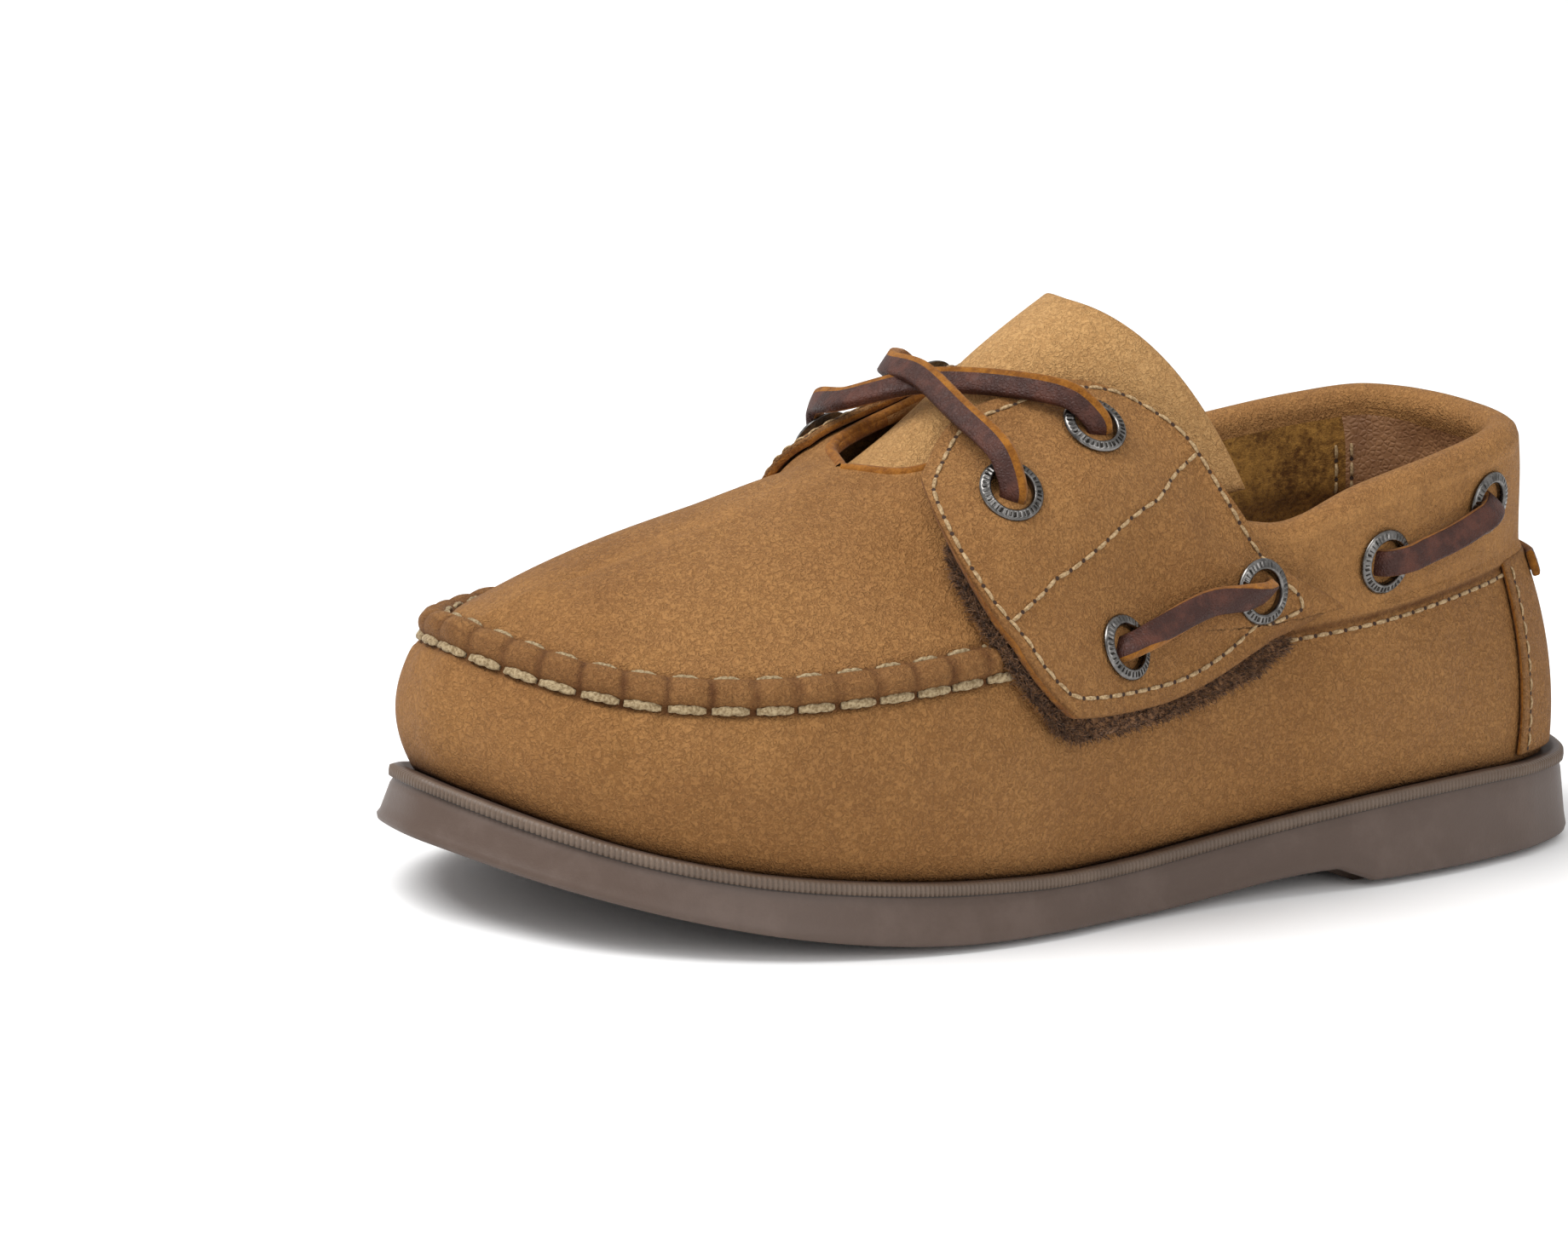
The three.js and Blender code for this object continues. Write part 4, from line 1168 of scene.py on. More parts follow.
# %% The shapes of the flap, the pad and the eyestay
FLAP_THICKNESS = 2.4
PAD_THICKNESS = 2.3
OVERLAY_THICKNESS = 1.4
CORNER_TUCK = 0.045
FLAP_ROWS = [
    [9.0, 1.88, 9.15, 1.22, 7.95, 0.71],
    [8.4, 2.09, 8.25, 1.36, 7.05, 0.73],
    [7.85, 2.13, 7.35, 1.4, 6.2, 0.78],
    [7.45, 2.1, 6.4, 1.52, 5.3, 0.87],
    [7.1, 2.0, 5.4, 1.95, 4.4, 0.97],
]
PAD_ROWS = [
    [9.2, 1.5, 9.1, 1.1, 7.85, 0.62],
    [8.2, 1.5, 8.1, 1.06, 7.0, 0.66],
    [7.2, 1.5, 7.0, 1.08, 6.1, 0.71],
    [6.2, 1.5, 6.0, 1.14, 5.2, 0.78],
    [5.5, 1.5, 5.3, 1.24, 4.75, 0.865],
]
EYESTAY_ROWS = [
    [9.05, 1.9, 9.2, 1.5, 8.9, 1.06],
    [8.4, 1.98, 8.4, 1.64, 8.2, 1.24],
    [7.7, 2.0, 7.6, 1.72, 7.45, 1.42],
    [7.1, 2.0, 6.9, 1.8, 6.75, 1.58],
]

print("rows of the flap:", len(FLAP_ROWS))

# %% [markdown]
# ## Laying an overlay on the face
#
# A smooth curve goes through the rows, and a bow through the three places of each row. The corners are
# pulled in a little, as they are rounded with scissors. The flap lies on the pad and is held off the
# quarter by it, and it comes down onto the leather again at its upper edge.

# %% Laying an overlay on the face


def smooth_row(values, t):
    """A smooth value from evenly spaced ones."""
    values = np.asarray(values, float)
    last = len(values) - 1
    place = np.clip(t, 0, 1) * last
    i = np.minimum(last - 1, np.floor(place).astype(int))
    f = place - i
    at = lambda k: values[np.clip(k, 0, last)]
    rise, after = (at(i + 1) - at(i - 1)) / 2, (at(i + 2) - at(i)) / 2
    return (
        (2 * f**3 - 3 * f**2 + 1) * at(i) + (f**3 - 2 * f**2 + f) * rise
        + (3 * f**2 - 2 * f**3) * at(i + 1) + (f**3 - f**2) * after
    )


def overlay_place(rows, s, t):
    a, b = 2 * s - 1, 2 * t - 1
    pull = 1 - CORNER_TUCK * abs(a * b) ** 6
    s, t = 0.5 + 0.5 * a * pull, 0.5 + 0.5 * b * pull
    rows = np.array(rows)
    c = [smooth_row(rows[:, k], s) for k in range(6)]
    w = [(1 - t) * (1 - 2 * t), 4 * t * (1 - t), t * (2 * t - 1)]
    return w[0] * c[0] + w[1] * c[2] + w[2] * c[4], w[0] * c[1] + w[1] * c[3] + w[2] * c[5]


def band(section, v):
    return COLLAR_STEP * collar_mask(section) * ease((v - 0.93) / 0.06)


def flap_low(v):
    return GAP * 2 + PAD_THICKNESS * ease((1.86 - v) / 0.34) + 7 * np.maximum(0, v - 1.95)


def flap_high(v):
    return flap_low(v) + FLAP_THICKNESS


def flat(height):
    return lambda v: height + 0 * v


def overlay(side, rows, low, high):
    def at(s, t, k):
        section, v = overlay_place(rows, s if side < 0 else 1 - s, t)
        out = band(section, v) + (high(v) if k else low(v))
        return lifted(np.full_like(section, side), section, v, out)

    return at


FLAP_SIZE = (62, 56)
BACKSTAY_SIZE = (66, 34)
STAY_LIFT = GAP * 1.5
flap_at = overlay(1, FLAP_ROWS, flap_low, flap_high)
pad_at = overlay(1, PAD_ROWS, flat(GAP), flat(PAD_THICKNESS))
stay_at = overlay(-1, EYESTAY_ROWS, flat(STAY_LIFT), flat(STAY_LIFT + OVERLAY_THICKNESS))
sheet("outer flap", flap_at, *FLAP_SIZE, 0.9, [tan, raw], "tan_leather", ["lateral_flap"])
sheet("pile pad", pad_at, 60, 34, 0.9, [loops, loops], "loop_pile", ["pile_pad"])
sheet("inner eyestay", stay_at, 42, 26, 0.8, [tan, raw], "tan_leather", ["medial_eyestay"])
print("overlays laid")

# %% [markdown]
# ## The backstay
#
# A strip over the seam at the back of the heel. It goes over from the outer side to the inner one, so
# its way across is a turn from one side to the other through section 0.

# %% The backstay
STAY_HALF = 2.15
STAY_THICKNESS = 0.9


def backstay_at(s, t, k):
    turn = (2 * s - 1) * STAY_HALF
    out = GAP + k * STAY_THICKNESS
    return lifted(np.where(turn < 0, -1.0, 1.0), abs(turn), mix(0.96, 0.04, t), np.full_like(s, out))


sheet(
    "backstay", backstay_at, *BACKSTAY_SIZE, 0.9, [tan, raw], "tan_leather", ["backstay"],
    rounding=0.5,
)
print("backstay laid")

# %% [markdown]
# ## Stitch lines on the overlays
#
# They run a few millimetres inside the edges, and turn the corners in a bow, since the machine cannot
# turn on the spot. The flap has one more line across it, which holds its fastening.

# %% Stitch lines on the overlays


def sheet_frame(at, s, t):
    """A place on a sheet's outer face, the one under it, two ways along it and the way out."""
    step = 0.004
    here, under = at(s, t, 1), at(s, t, 0)
    a = at(s + step, t, 1) - at(s - step, t, 1)
    b = at(s, t + step, 1) - at(s, t - step, 1)
    out = unit(np.cross(a, b))
    out = out * np.sign(np.sum(out * (here - under), -1, keepdims=True))
    return here, under, a, b, out


def leg_points(path, near):
    """Two points on each leg of a path, near its ends."""
    a, b = mix(path[:-1], path[1:], near), mix(path[1:], path[:-1], near)
    return np.stack([a, b], 1).reshape(-1, 2)


def on_sheet(at, path, out=0.0):
    """A line through (s, t) points of a sheet's outer face, with its corners rounded off."""
    path = np.array(path, float)
    legs = np.linalg.norm(np.diff(path, axis=0), axis=1)
    for near in (0.09 / np.maximum(legs, 0.2)[:, None], 0.25, 0.25, 0.25):
        path = np.concatenate([path[:1], leg_points(path, near), path[-1:]])
    walk = walked(path)

    def line(t):
        here, _, _, _, way = sheet_frame(at, *walk(t))
        return here + way * out, way

    return line


def straight_path(at, start, end, count=9):
    """The (s, t) points of a line that looks straight from outside."""
    a, b = at(*start, 1), at(*end, 1)
    across = np.cross(b - a, at(0.5, 0.5, 1) - at(0.5, 0.5, 0))
    tries = np.linspace(0, 1, 300)
    path = [start]
    for s in np.linspace(start[0], end[0], count)[1:-1]:
        off = abs((at(np.full(300, s), tries, 1) - a) @ across)
        path.append((s, tries[np.argmin(off)]))
    return path + [end]


INSET = 2.9
low_s, low_t = (INSET / size for size in FLAP_SIZE)
high_s, high_t = 1 - low_s, 1 - low_t
flap_border = [(low_s, 0.3), (low_s, high_t), (high_s, high_t), (high_s, low_t)]
flap_border += [(low_s, low_t), (low_s, 0.3)]
look = {"bow": 0.22, "squash": 0.6}
stitches("flap stitches", on_sheet(flap_at, flap_border), 3.1, 2.3, 0.33, fine_thread, **look)
cross = straight_path(flap_at, (low_s, 0.2), (high_s, 0.62))
stitches("flap cross stitches", on_sheet(flap_at, cross), 3.0, 2.2, 0.33, fine_thread, **look)
stay_inset = 2.6 / BACKSTAY_SIZE[0]
for label, share in (("outer", 1 - stay_inset), ("inner", stay_inset)):
    path = [(share, 0.03), (share, 0.5), (share, 0.97)]
    stitches(label + " backstay stitches", on_sheet(backstay_at, path), 3.0, 2.1, 0.3, fine_thread, **look)
stay_path = [(0.08, 0.05), (0.92, 0.05), (0.92, 0.93), (0.08, 0.93), (0.08, 0.05)]
stitches("eyestay stitches", on_sheet(stay_at, stay_path), 3.0, 2.1, 0.3, fine_thread, **look)
print("overlays sewn")

# %% [markdown]
# ## Pile round the edge of the pad
#
# The pad is a hook-and-loop strip. Only its rim shows, so that is where the tufts stand: thin bent
# fibres in one joined mesh. A hair system would look as good, but it would not come along when the
# part is exported.

# %% Pile round the edge of the pad
TUFT_RADIUS = 0.11


def tufts(name, at, count, where, long, material):
    chance = np.random.default_rng(4)
    s, t = where(chance, count)
    foot, under, a, b, up = sheet_frame(at, s, t)
    foot = mix(foot, under, chance.uniform(0.05, 0.75, (count, 1)))
    lean = unit(chance.normal(0, 1, (count, 3)))
    edge_s = np.where(s > 0.5, 1.0, -1.0)[:, None] * unit(a) * (np.minimum(s, 1 - s) < 0.12)[:, None]
    edge_t = np.where(t > 0.5, 1.0, -1.0)[:, None] * unit(b) * (np.minimum(t, 1 - t) < 0.15)[:, None]
    way = unit(up * 0.7 + lean * 0.8 + (edge_s + edge_t) * 0.7)
    bend = unit(np.cross(way, chance.normal(0, 1, (count, 3))))
    size = chance.uniform(0.6, 1, (count, 1)) * long
    rows = []
    rise = np.cross(way, bend)
    for share, thin in ((0, 1.0), (0.45, 0.9), (0.8, 0.65), (1, 0.2)):
        centre = foot + way * size * share + bend * size * 0.4 * share**2
        for turn in (0, 2.1, 4.2):
            side = bend * math.cos(turn) + rise * math.sin(turn)
            rows.append(centre + side * TUFT_RADIUS * thin)
    points = np.stack(rows, 1).reshape(-1, 3)
    one = quads(4, 3, wrap=True)
    faces = (one[None] + (np.arange(count) * 12)[:, None, None]).reshape(-1, 4)
    return piece(name, points, faces, [material])


def pad_rim(chance, count):
    side = chance.uniform(0, 1, count)
    near = abs(chance.normal(0, 0.06, count))
    far = chance.uniform(0, 1, count)
    front = side < 0.45
    s = np.where(front, 1 - near, far)
    t = np.where(front, far, 1 - near * 1.6)
    return np.clip(s, 0.005, 0.995), np.clip(t, 0.005, 0.995)


TUFTS = 7000
tufts("pad tufts", pad_at, TUFTS, pad_rim, 1.9, loops)
print("tufts:", TUFTS)

# %% [markdown]
# ## Rolls along two edges
#
# The leather round the throat is thick and its cut edge is rubbed round, so a thin roll lies along it.
# A second one is the lip of leather that shows under the pile. Both are half sunk into their piece.

# %% Rolls along two edges


def edging(name, line, radius, material):
    """A thin roll along a line, sunk half into what it lies on."""
    stations, sides = 260, 8
    centres, outs = line(np.linspace(0, 1, stations))
    way = unit(np.gradient(centres, axis=0))
    aside = unit(np.cross(outs, way))
    angles = around_circle(sides)
    outline = np.stack([np.cos(angles), np.sin(angles)], 1) * radius
    rings = tube_rings(centres, aside, np.cross(way, aside), outline)
    faces = quads(stations, sides, wrap=True)
    return piece(name, rings.reshape(-1, 3), faces, [material])


for label, side in (("outer", 1), ("inner", -1)):
    rim = upper_line(side, [(7.0, 2.0), (THROAT - 0.02, 2.0)], -0.45)
    edging(label + " throat edge", rim, 0.95, raw)

pad_border = [(0.99, 0.0), (0.99, 0.99), (0.01, 0.99), (0.01, 0.6)]
edging("pad lip", on_sheet(pad_at, pad_border, out=-PAD_THICKNESS + 0.5), 0.75, tan)
print("edges rolled")

# %% [markdown]
# ## The tongue
#
# A loose sheet of soft leather that starts under the plug and comes up out of the throat. Its rows go
# from the throat back to its end, and in each the sides hang down beside the foot.

# %% The tongue
TONGUE_THICKNESS = 2.4
TONGUE = {
    "ahead": [8, 0, -14, -28, -42],
    "rise": [-3.6, -1, 8.2, 19.4, 27.2],
    "half": [10.5, 11.5, 12.6, 12.9, 16],
    "drop": [7, 8, 15, 22.5, 26.5],
    "sweep": [0, 0, 4, 13, 24],
    "roundness": [2, 2, 2, 2.3, 3.1],
}
TONGUE_TURN = 1.25
throat_point = face(1, THROAT, 2)


def tongue_low(s, t):
    row = {key: smooth_row(values, t) for key, values in TONGUE.items()}
    b = 2 * s - 1
    x = throat_point[0] + row["ahead"] - row["sweep"] * b * b
    y = np.sin(b * TONGUE_TURN) / math.sin(TONGUE_TURN) * row["half"]
    low = throat_point[2] - (WALL + GAP + TONGUE_THICKNESS)
    z = low + row["rise"] - row["drop"] * abs(b) ** row["roundness"]
    return np.stack([x, y, z], -1)


def tongue_at(s, t, k):
    step = 0.01
    across = tongue_low(s + step, t) - tongue_low(s - step, t)
    back = tongue_low(s, np.minimum(1, t + step)) - tongue_low(s, np.maximum(0, t - step))
    out = unit(np.cross(across, back))
    return tongue_low(s, t) + out * (k * TONGUE_THICKNESS)


sheet("tongue", tongue_at, 62, 58, 0.9, [pale_and_lit_tan, raw], "tan_leather", ["tongue"])
print("tongue done")

# %% [markdown]
# ## The lines of the sole
#
# The sole is moulded in one piece: a heel, a low arch behind the ball and a toe that springs up. Seen
# from the side, its underline is a few simple curves of the share of its length. Round its top edge
# runs a rim of small beads, so the columns go round it in threes: one groove, two for a bead.

# %% The lines of the sole
HEEL_END = 0.27
BREAST = 0.035
ARCH_END = 0.5
SPRING_START = 0.64


def underside(share):
    spring = TOE_SPRING * np.clip((share - SPRING_START) / (1 - SPRING_START), 0, 1) ** 2
    breast = np.clip((share - HEEL_END) / BREAST, 0, 1)
    fall = 1 - ease((share - HEEL_END - BREAST) / (ARCH_END - HEEL_END - BREAST))
    return spring + ARCH_RISE * breast * fall


SOLE_COLUMNS = 1802
sole_run = np.linspace(0, one_way[-1], SOLE_COLUMNS // 2)
sole_half = np.interp(sole_run, one_way, np.arange(TIP + 1))
sole_around = np.concatenate([sole_half, sole_half[-2:0:-1]])
sole_sides = np.concatenate([np.ones(len(sole_half)), -np.ones(len(sole_half) - 2)])
foot_xy = edge_point(sole_sides, sole_around)
foot_out = outward(sole_sides, sole_around)
low_line = underside(read("along", sole_sides, sole_around))
top_line = sole_top(sole_sides, sole_around)
BEAD = 0.42
bead = np.where(np.arange(len(sole_around)) % 3 == 0, 0.0, BEAD)
print("sole columns:", len(sole_around))

# %% [markdown]
# ## The rings of the sole
#
# From the tread up: each ring is the outline, so much inset and so high. They make the inset tread, the
# flared side wall, the thin groove under the rim, the beads and the ledge that the upper stands on.

# %% The rings of the sole


def sole_ring(inset, up):
    inset = np.broadcast_to(inset, low_line.shape)[:, None]
    return np.concatenate([foot_xy - foot_out * inset, up[:, None]], 1)


side_low = low_line + TREAD_STEP
sole_rings = [
    sole_ring(TREAD_INSET + 8, low_line),
    sole_ring(TREAD_INSET, low_line),
    sole_ring(TREAD_INSET - 0.4, side_low),
    sole_ring(-SOLE_FLARE + 0.7, side_low),
    sole_ring(-SOLE_FLARE + 0.15, side_low + 0.25),
    sole_ring(-SOLE_FLARE, side_low + 0.9),
]
for share in (0.25, 0.45, 0.65, 0.8, 0.9):
    sole_rings.append(sole_ring(-SOLE_FLARE * (1 - share), mix(side_low, top_line - 1.4, share)))
sole_rings += [
    sole_ring(0.25, top_line - 1.3),
    sole_ring(0.3, top_line - 1.1),
    sole_ring(-0.05 - bead, top_line - 0.9),
    sole_ring(-0.1 - bead, top_line - 0.2),
    sole_ring(0.0 - bead, top_line + WELT_HEIGHT - 0.3),
    sole_ring(0.35, top_line + WELT_HEIGHT),
    sole_ring(WELT_WIDTH, top_line + WELT_HEIGHT),
    sole_ring(WELT_WIDTH + 0.4, top_line + 0.1),
    sole_ring(LEDGE + 3, top_line + 0.1),
]
print("sole rings:", len(sole_rings))

# %% [markdown]
# ## Closing the sole
#
# The first and the last ring are closed with faces that go straight across, from the outer side to the
# inner one. At the heel and the toe two of their corners are the same, so those are triangles.

# %% Closing the sole
count = len(sole_around)
last_ring = (len(sole_rings) - 1) * count
GROOVE_RINGS = slice(11 * count, 13 * count)
RIM_RINGS = slice(13 * count, 16 * count)


def cap(start, flip):
    made = []
    for i in range(count // 2):
        a, b = start + i, start + i + 1
        c, d = start + (count - i) % count, start + (count - i - 1) % count
        loop = [a, b, d, c] if not flip else [a, c, d, b]
        loop = [p for k, p in enumerate(loop) if p not in loop[:k]]
        if len(loop) > 2:
            made.append(loop)
    return made


sole_faces = quads(len(sole_rings), count, wrap=True)[:, ::-1].tolist()
sole_faces += cap(0, False) + cap(last_ring, True)
sole_index = np.zeros(len(sole_faces))
# Painted shade in the groove under the rim.
sole_index[GROOVE_RINGS] = 2
# The beads get the lighter rim rubber, partly a painted highlight.
sole_index[RIM_RINGS] = 3
sole_index[:count] = 1
sole_index[last_ring : last_ring + count // 2] = 1
sole = piece(
    "outsole rubber", np.concatenate(sole_rings), sole_faces,
    [sole_rubber, sole_tread, rim_groove_shade, rim_rubber_and_highlight], ["outsole"], sole_index,
)
print("sole faces:", len(sole.data.polygons))

# %% [markdown]
# ## Where the eyelets sit
#
# Ten eyelets: four on the flap, four on the collar's sides and two on the inner side of the throat.
# Each place is given on the face, with the way out of it, so the laces can use the same places.

# %% Where the eyelets sit
EYELET = {"outer": 5.2, "bore": 3.4, "wall": 0.35, "flange": 0.9, "barrel": 1.8, "foot": 0.1}
LACE_WIDTH = 4.2
LACE_THICKNESS = 1.9


def over(side, section, v, out):
    """A place out millimetres off the face or the collar's band, and the way out there."""
    place = float(side), float(section), float(v)
    return lifted(*place, out + band(section, v)), normal(*place)


def spot(side, section, v, out):
    at, way = over(side, section, v, out + GAP)
    return {"at": at, "out": way}


SPOTS = {
    "flap_front": spot(1, 8.3, 1.65, flap_high(1.65)),
    "flap_rear": spot(1, 7.4, 1.85, flap_high(1.85)),
    "flap_bar_front": spot(1, 7.4, 0.97, flap_high(0.97)),
    "flap_bar_rear": spot(1, 5.38, 1.4, flap_high(1.4)),
    "outer_collar_front": spot(1, 4.0, 1.4, 0),
    "outer_collar_rear": spot(1, 2.7, 1.62, 0),
    "inner_collar_front": spot(-1, 4.0, 1.4, 0),
    "inner_collar_rear": spot(-1, 2.7, 1.62, 0),
    "inner_front": spot(-1, 8.3, 1.65, STAY_LIFT + OVERLAY_THICKNESS),
    "inner_rear": spot(-1, 7.4, 1.8, STAY_LIFT + OVERLAY_THICKNESS),
}


print("eyelets:", len(SPOTS))

# %% [markdown]
# ## The eyelets
#
# An eyelet is pressed from thin metal: a barrel through the leather and a flange rolled over it. Its
# profile is turned round the hole. The flange carries plain ticks, which are sunk into its face and
# tarnished. They could be a bump, but sunk ticks also catch the light on their walls.

# %% The eyelets
TURN_STEPS = 144
TICK_DEPTH = 0.2
TICKED_RING = 7
bore, rim, foot = EYELET["bore"], EYELET["outer"], EYELET["foot"]
PROFILE = [
    (bore, -EYELET["barrel"]), (bore + EYELET["wall"], -EYELET["barrel"]),
    (bore + EYELET["wall"], foot), (rim, foot), (rim + 0.02, foot + 0.2), (rim - 0.15, foot + 0.45),
    (rim - 0.3, foot + 0.58), (rim - 0.42, foot + 0.68), (bore + 0.62, foot + 0.86),
    (bore + 0.5, foot + 0.9), (bore + 0.3, foot + 0.84), (bore + 0.08, foot + 0.6),
    (bore, foot + 0.2),
]
ticked_steps = np.isin(np.arange(TURN_STEPS) % 12, (0, 3, 4, 8))


def eyelet(name, place):
    angles = around_circle(TURN_STEPS)
    aside = unit(np.cross(place["out"], [1.0, 0.1, 0.0]))
    ahead = np.cross(place["out"], aside)
    rings = []
    for k, (r, z) in enumerate(PROFILE):
        sunk = TICK_DEPTH * ticked_steps * (k in (TICKED_RING, TICKED_RING + 1))
        flat_ring = aside * (np.cos(angles) * r)[:, None] + ahead * (np.sin(angles) * r)[:, None]
        rings.append(place["at"] + flat_ring + place["out"] * (z - sunk)[:, None])
    faces = quads(len(PROFILE), TURN_STEPS, wrap=True)
    close = closing_ring((len(PROFILE) - 1) * TURN_STEPS, TURN_STEPS)
    index = np.zeros((len(PROFILE), TURN_STEPS), int)
    index[TICKED_RING] = ticked_steps
    return piece(
        "eyelet " + name.replace("_", " "), np.concatenate(rings), np.concatenate([faces, close]),
        [nickel, tarnish], ["eyelet_" + name], index.ravel(),
    )


for name, place in SPOTS.items():
    eyelet(name, place)
print("eyelets set")

# %% [markdown]
# ## Laces
#
# They are thongs, cut from a hide and about twice as wide as they are thick. Their route is a smooth
# curve through chosen points, from inside one eyelet to inside another. The thongs twist where they
# cross, so that some of their golden cut sides can be seen, and that is a turn about their length.

# %% Laces


def catmull(points, t):
    """A centripetal curve through points, at shares t of their count."""
    p = np.array(points, float)
    p = np.concatenate([[2 * p[0] - p[1]], p, [2 * p[-1] - p[-2]]])
    legs = len(p) - 3
    out = []
    for share in t:
        i = min(legs - 1, int(share * legs))
        near = p[i : i + 4]
        gaps = np.linalg.norm(np.diff(near, axis=0), axis=1) ** 0.5
        knots = np.concatenate([[0], np.cumsum(gaps)])
        x = mix(knots[1], knots[2], share * legs - i)
        for reach in (1, 2):
            a, b = knots[:-reach, None], knots[reach:, None]
            near = ((b - x) * near[:-1] + (x - a) * near[1:]) / (b - a)
        out.append(mix(near[0], near[1], (x - knots[1]) / (knots[2] - knots[1])))
    return np.array(out)


def lace_outline(w, h):
    """The cross-section of a thong, from half its width and half its thickness."""
    return np.array([
        (-w, -h * 0.5), (-w * 0.93, -h * 0.85), (-w * 0.8, -h), (0, -h), (w * 0.8, -h),
        (w * 0.93, -h * 0.85), (w, -h * 0.5), (w, h * 0.4), (w * 0.96, h * 0.75),
        (w * 0.84, h * 0.98), (w * 0.45, h * 1.06), (0, h * 1.1), (-w * 0.45, h * 1.06),
        (-w * 0.84, h * 0.98), (-w * 0.96, h * 0.75), (-w, h * 0.4),
    ])


def thong(name, path, replaces, thickness=LACE_THICKNESS, grain=(8, 14), roll=(0, 0)):
    """A thong along (place, up) points; grain says which of its sides are the waxed ones."""
    stations = 90
    points, ups = (np.array(values) for values in zip(*path))
    t = np.linspace(0, 1, stations)
    centres = catmull(points, t)
    up = unit(np.stack(walked(ups)(t), -1))
    way = unit(np.gradient(centres, axis=0))
    aside = unit(np.cross(up, way))
    up = np.cross(way, aside)
    turn = np.radians(np.interp(t, [0.2, 0.8], roll))[:, None]
    cos, sin = np.cos(turn), np.sin(turn)
    aside, up = aside * cos + up * sin, up * cos - aside * sin
    outline = lace_outline(LACE_WIDTH / 2, thickness / 2)
    rings = tube_rings(centres, aside, up, outline)
    n = len(outline)
    faces = quads(stations, n, wrap=True).tolist()
    index = [0 if grain[0] <= k % n < grain[1] else 1 for k in range(len(faces))]
    faces += [list(range(n))[::-1], [(stations - 1) * n + k for k in range(n)]]
    materials = [lace_grain, lace_suede]
    points = rings.reshape(-1, 3)
    return piece(name, points, faces, materials, replaces, index + [1, 1])


print("a thong has", len(lace_outline(1, 1)), "sides")

# %% [markdown]
# ## The laces' routes
#
# Two thongs cross over the tongue, with the upper one from the flap's front eyelet. The others are
# short bars, from one eyelet to the next, and one that crosses the backstay at the heel.

# %% The laces' routes


def way_out(place, target):
    """Out of an eyelet: from inside its bore, up over the flange and on towards target."""
    out = place["out"]
    over = EYELET["flange"] + GAP * 1.5 + LACE_THICKNESS / 2
    toward = target - place["at"]
    toward = unit(toward - out * toward.dot(out))
    at = lambda up, ahead: place["at"] + out * up + toward * ahead
    lean = lambda share: unit(mix(out, -toward, share))
    return [
        (at(-0.9, -1.1), lean(0.7)), (at(0.9, -0.2), lean(0.5)),
        (at(over + 0.1, 3.4), out), (at(over, EYELET["outer"] + 1), out),
    ]


def lace_path(start, middle, end):
    start, end = SPOTS[start], SPOTS[end]
    return way_out(start, middle[0][0]) + middle + way_out(end, middle[-1][0])[::-1]


CROSSING = {
    "top": [(-12, 13, 10.8), (-13.2, 1, 14), (-15, -9, 13.2)],
    "under": [(-20.5, 6, 13.4), (-14.2, -1, 12.2), (-8, -11, 7.8)],
}


def crossing_points(rows):
    return [(throat_point + np.array(r), unit(np.array([0, r[1] / 30, 1.0]))) for r in rows]


BAR_ARCH = 1.6
top, under = crossing_points(CROSSING["top"]), crossing_points(CROSSING["under"])
thong(
    "lace over", lace_path("flap_front", top, "inner_rear"), ["lace_crossing"],
    grain=(6, 12), roll=(-38, -46),
)
thong("lace under", lace_path("flap_rear", under, "inner_front"), [], grain=(6, 12), roll=(-46, -40))
flap_middle = [over(1, 6.3, 1.2, flap_high(1.2) + BAR_ARCH)]
flap_route = lace_path("flap_bar_front", flap_middle, "flap_bar_rear")
thong("flap lace bar", flap_route, ["lace_bar_flap"], roll=(-46, 46))
for label, side in (("outer", 1), ("inner", -1)):
    middle = [over(side, 3.35, 1.48, COLLAR_STEP + BAR_ARCH)]
    route = lace_path(label + "_collar_front", middle, label + "_collar_rear")
    roll = (-14 * side, -38 * side)
    thong(label + " collar lace bar", route, ["lace_bar_" + label], roll=roll)

HEEL_LACE = {"reach": 1.25, "thickness": 1.3, "v": 0.88, "sag": 0.02}
heel_out = GAP * 2 + STAY_THICKNESS + HEEL_LACE["thickness"] / 2
heel_path = []
for share in (-1, -0.6, -0.2, 0.2, 0.6, 1):
    heel_v = HEEL_LACE["v"] - HEEL_LACE["sag"] * (1 - share**2)
    heel_path.append(over(-1 if share > 0 else 1, abs(share) * HEEL_LACE["reach"], heel_v, heel_out))
thong("heel lace bar", heel_path, ["lace_bar_heel"], thickness=HEEL_LACE["thickness"])
print("laces laid")

# %% [markdown]
# ## Insole and stage
#
# The insole keeps its solid, since it lies deep in the shoe, and only takes the lining's colour. The
# shoe stands on a white floor under a bright white sky, as in the photograph.

# %% Insole and stage
insole_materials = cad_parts["insole"].data.materials
insole_materials.clear()
insole_materials.append(lining_smooth)

floor_paint = Paint("floor", (0.95, 0.95, 0.95), 0.6)
bpy.ops.mesh.primitive_plane_add(size=8)
floor = bpy.context.object
floor.name = "floor"
floor.data.materials.append(floor_paint.material)

world = bpy.data.worlds.new("studio")
world.use_nodes = True
world.node_tree.nodes["Background"].inputs["Color"].default_value = (1, 1, 1, 1)
world.node_tree.nodes["Background"].inputs["Strength"].default_value = 0.75
bpy.context.scene.world = world
print("stage set")

# %% [markdown]
# ## Light
#
# The photograph has soft light from all round, a little stronger from the front and above, so that the
# shadow is weak. One large lamp gives that, and a weaker one fills the outer side.

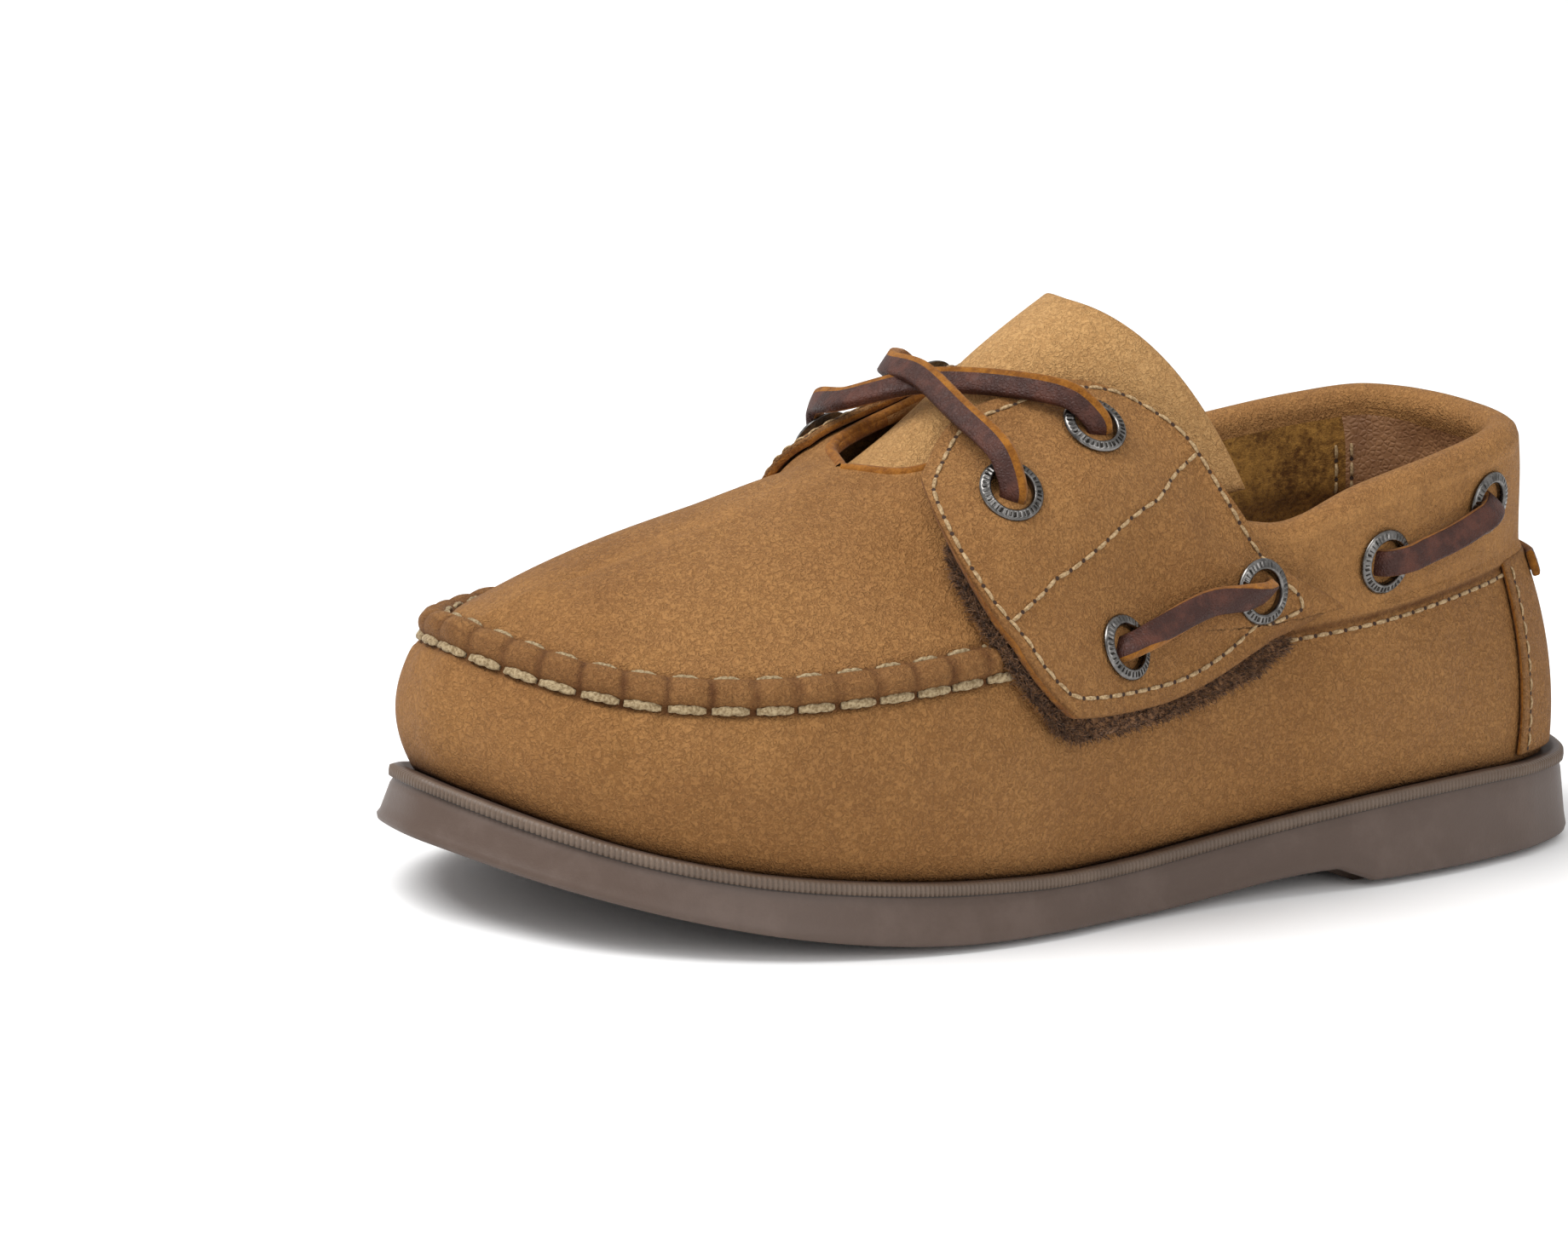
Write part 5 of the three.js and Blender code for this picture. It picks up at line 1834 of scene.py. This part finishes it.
# %% Light
LIGHT_AIM = (0.05, 0, 0.03)


def area_light(name, place, size, power):
    light = bpy.data.lights.new(name, "AREA")
    light.size = size
    light.energy = power
    made = bpy.data.objects.new(name, light)
    bpy.context.scene.collection.objects.link(made)
    made.location = place
    made.rotation_euler = (Vector(LIGHT_AIM) - Vector(place)).to_track_quat("-Z", "Y").to_euler()


area_light("key", (0.9, -0.2, 1.3), 0.9, 22)
area_light("fill", (0.2, 1.4, 0.8), 1.0, 7)
bpy.context.scene.view_settings.view_transform = "Standard"
print("lights:", len(bpy.data.lights))

# %% [markdown]
# ## Camera
#
# Its place was worked out from points that can be found both in the photograph and on the shoe. It
# stands far away with a long lens, looks from the outer front side and is rolled a little.

# %% Camera
CAMERA_TURN = math.radians(37.27)
CAMERA_RISE = math.radians(13.13)
CAMERA_ROLL = math.radians(-4.34)
CAMERA_AWAY = 1525
CAMERA_AIM = np.array([104.2, -22.6, 35.1])
CAMERA_LENS = 224.13

forward = -np.array([
    math.sin(CAMERA_TURN) * math.cos(CAMERA_RISE),
    math.cos(CAMERA_TURN) * math.cos(CAMERA_RISE),
    math.sin(CAMERA_RISE),
])
level = np.array([-math.cos(CAMERA_TURN), math.sin(CAMERA_TURN), 0])
upright = np.cross(level, forward)
right = level * math.cos(CAMERA_ROLL) - upright * math.sin(CAMERA_ROLL)
upward = level * math.sin(CAMERA_ROLL) + upright * math.cos(CAMERA_ROLL)
lens = bpy.data.cameras.new("camera")
lens.lens = CAMERA_LENS
lens.sensor_width = 36
lens.clip_end = 20
camera = bpy.data.objects.new("camera", lens)
bpy.context.scene.collection.objects.link(camera)
eye = (CAMERA_AIM - forward * CAMERA_AWAY) * MM
camera.matrix_world = Matrix([
    [right[0], upward[0], -forward[0], eye[0]],
    [right[1], upward[1], -forward[1], eye[1]],
    [right[2], upward[2], -forward[2], eye[2]],
    [0, 0, 0, 1],
])
bpy.context.scene.camera = camera
print("camera", CAMERA_AWAY, "mm away")

# %% [markdown]
# ## The end

# %% The end
print("scene built")
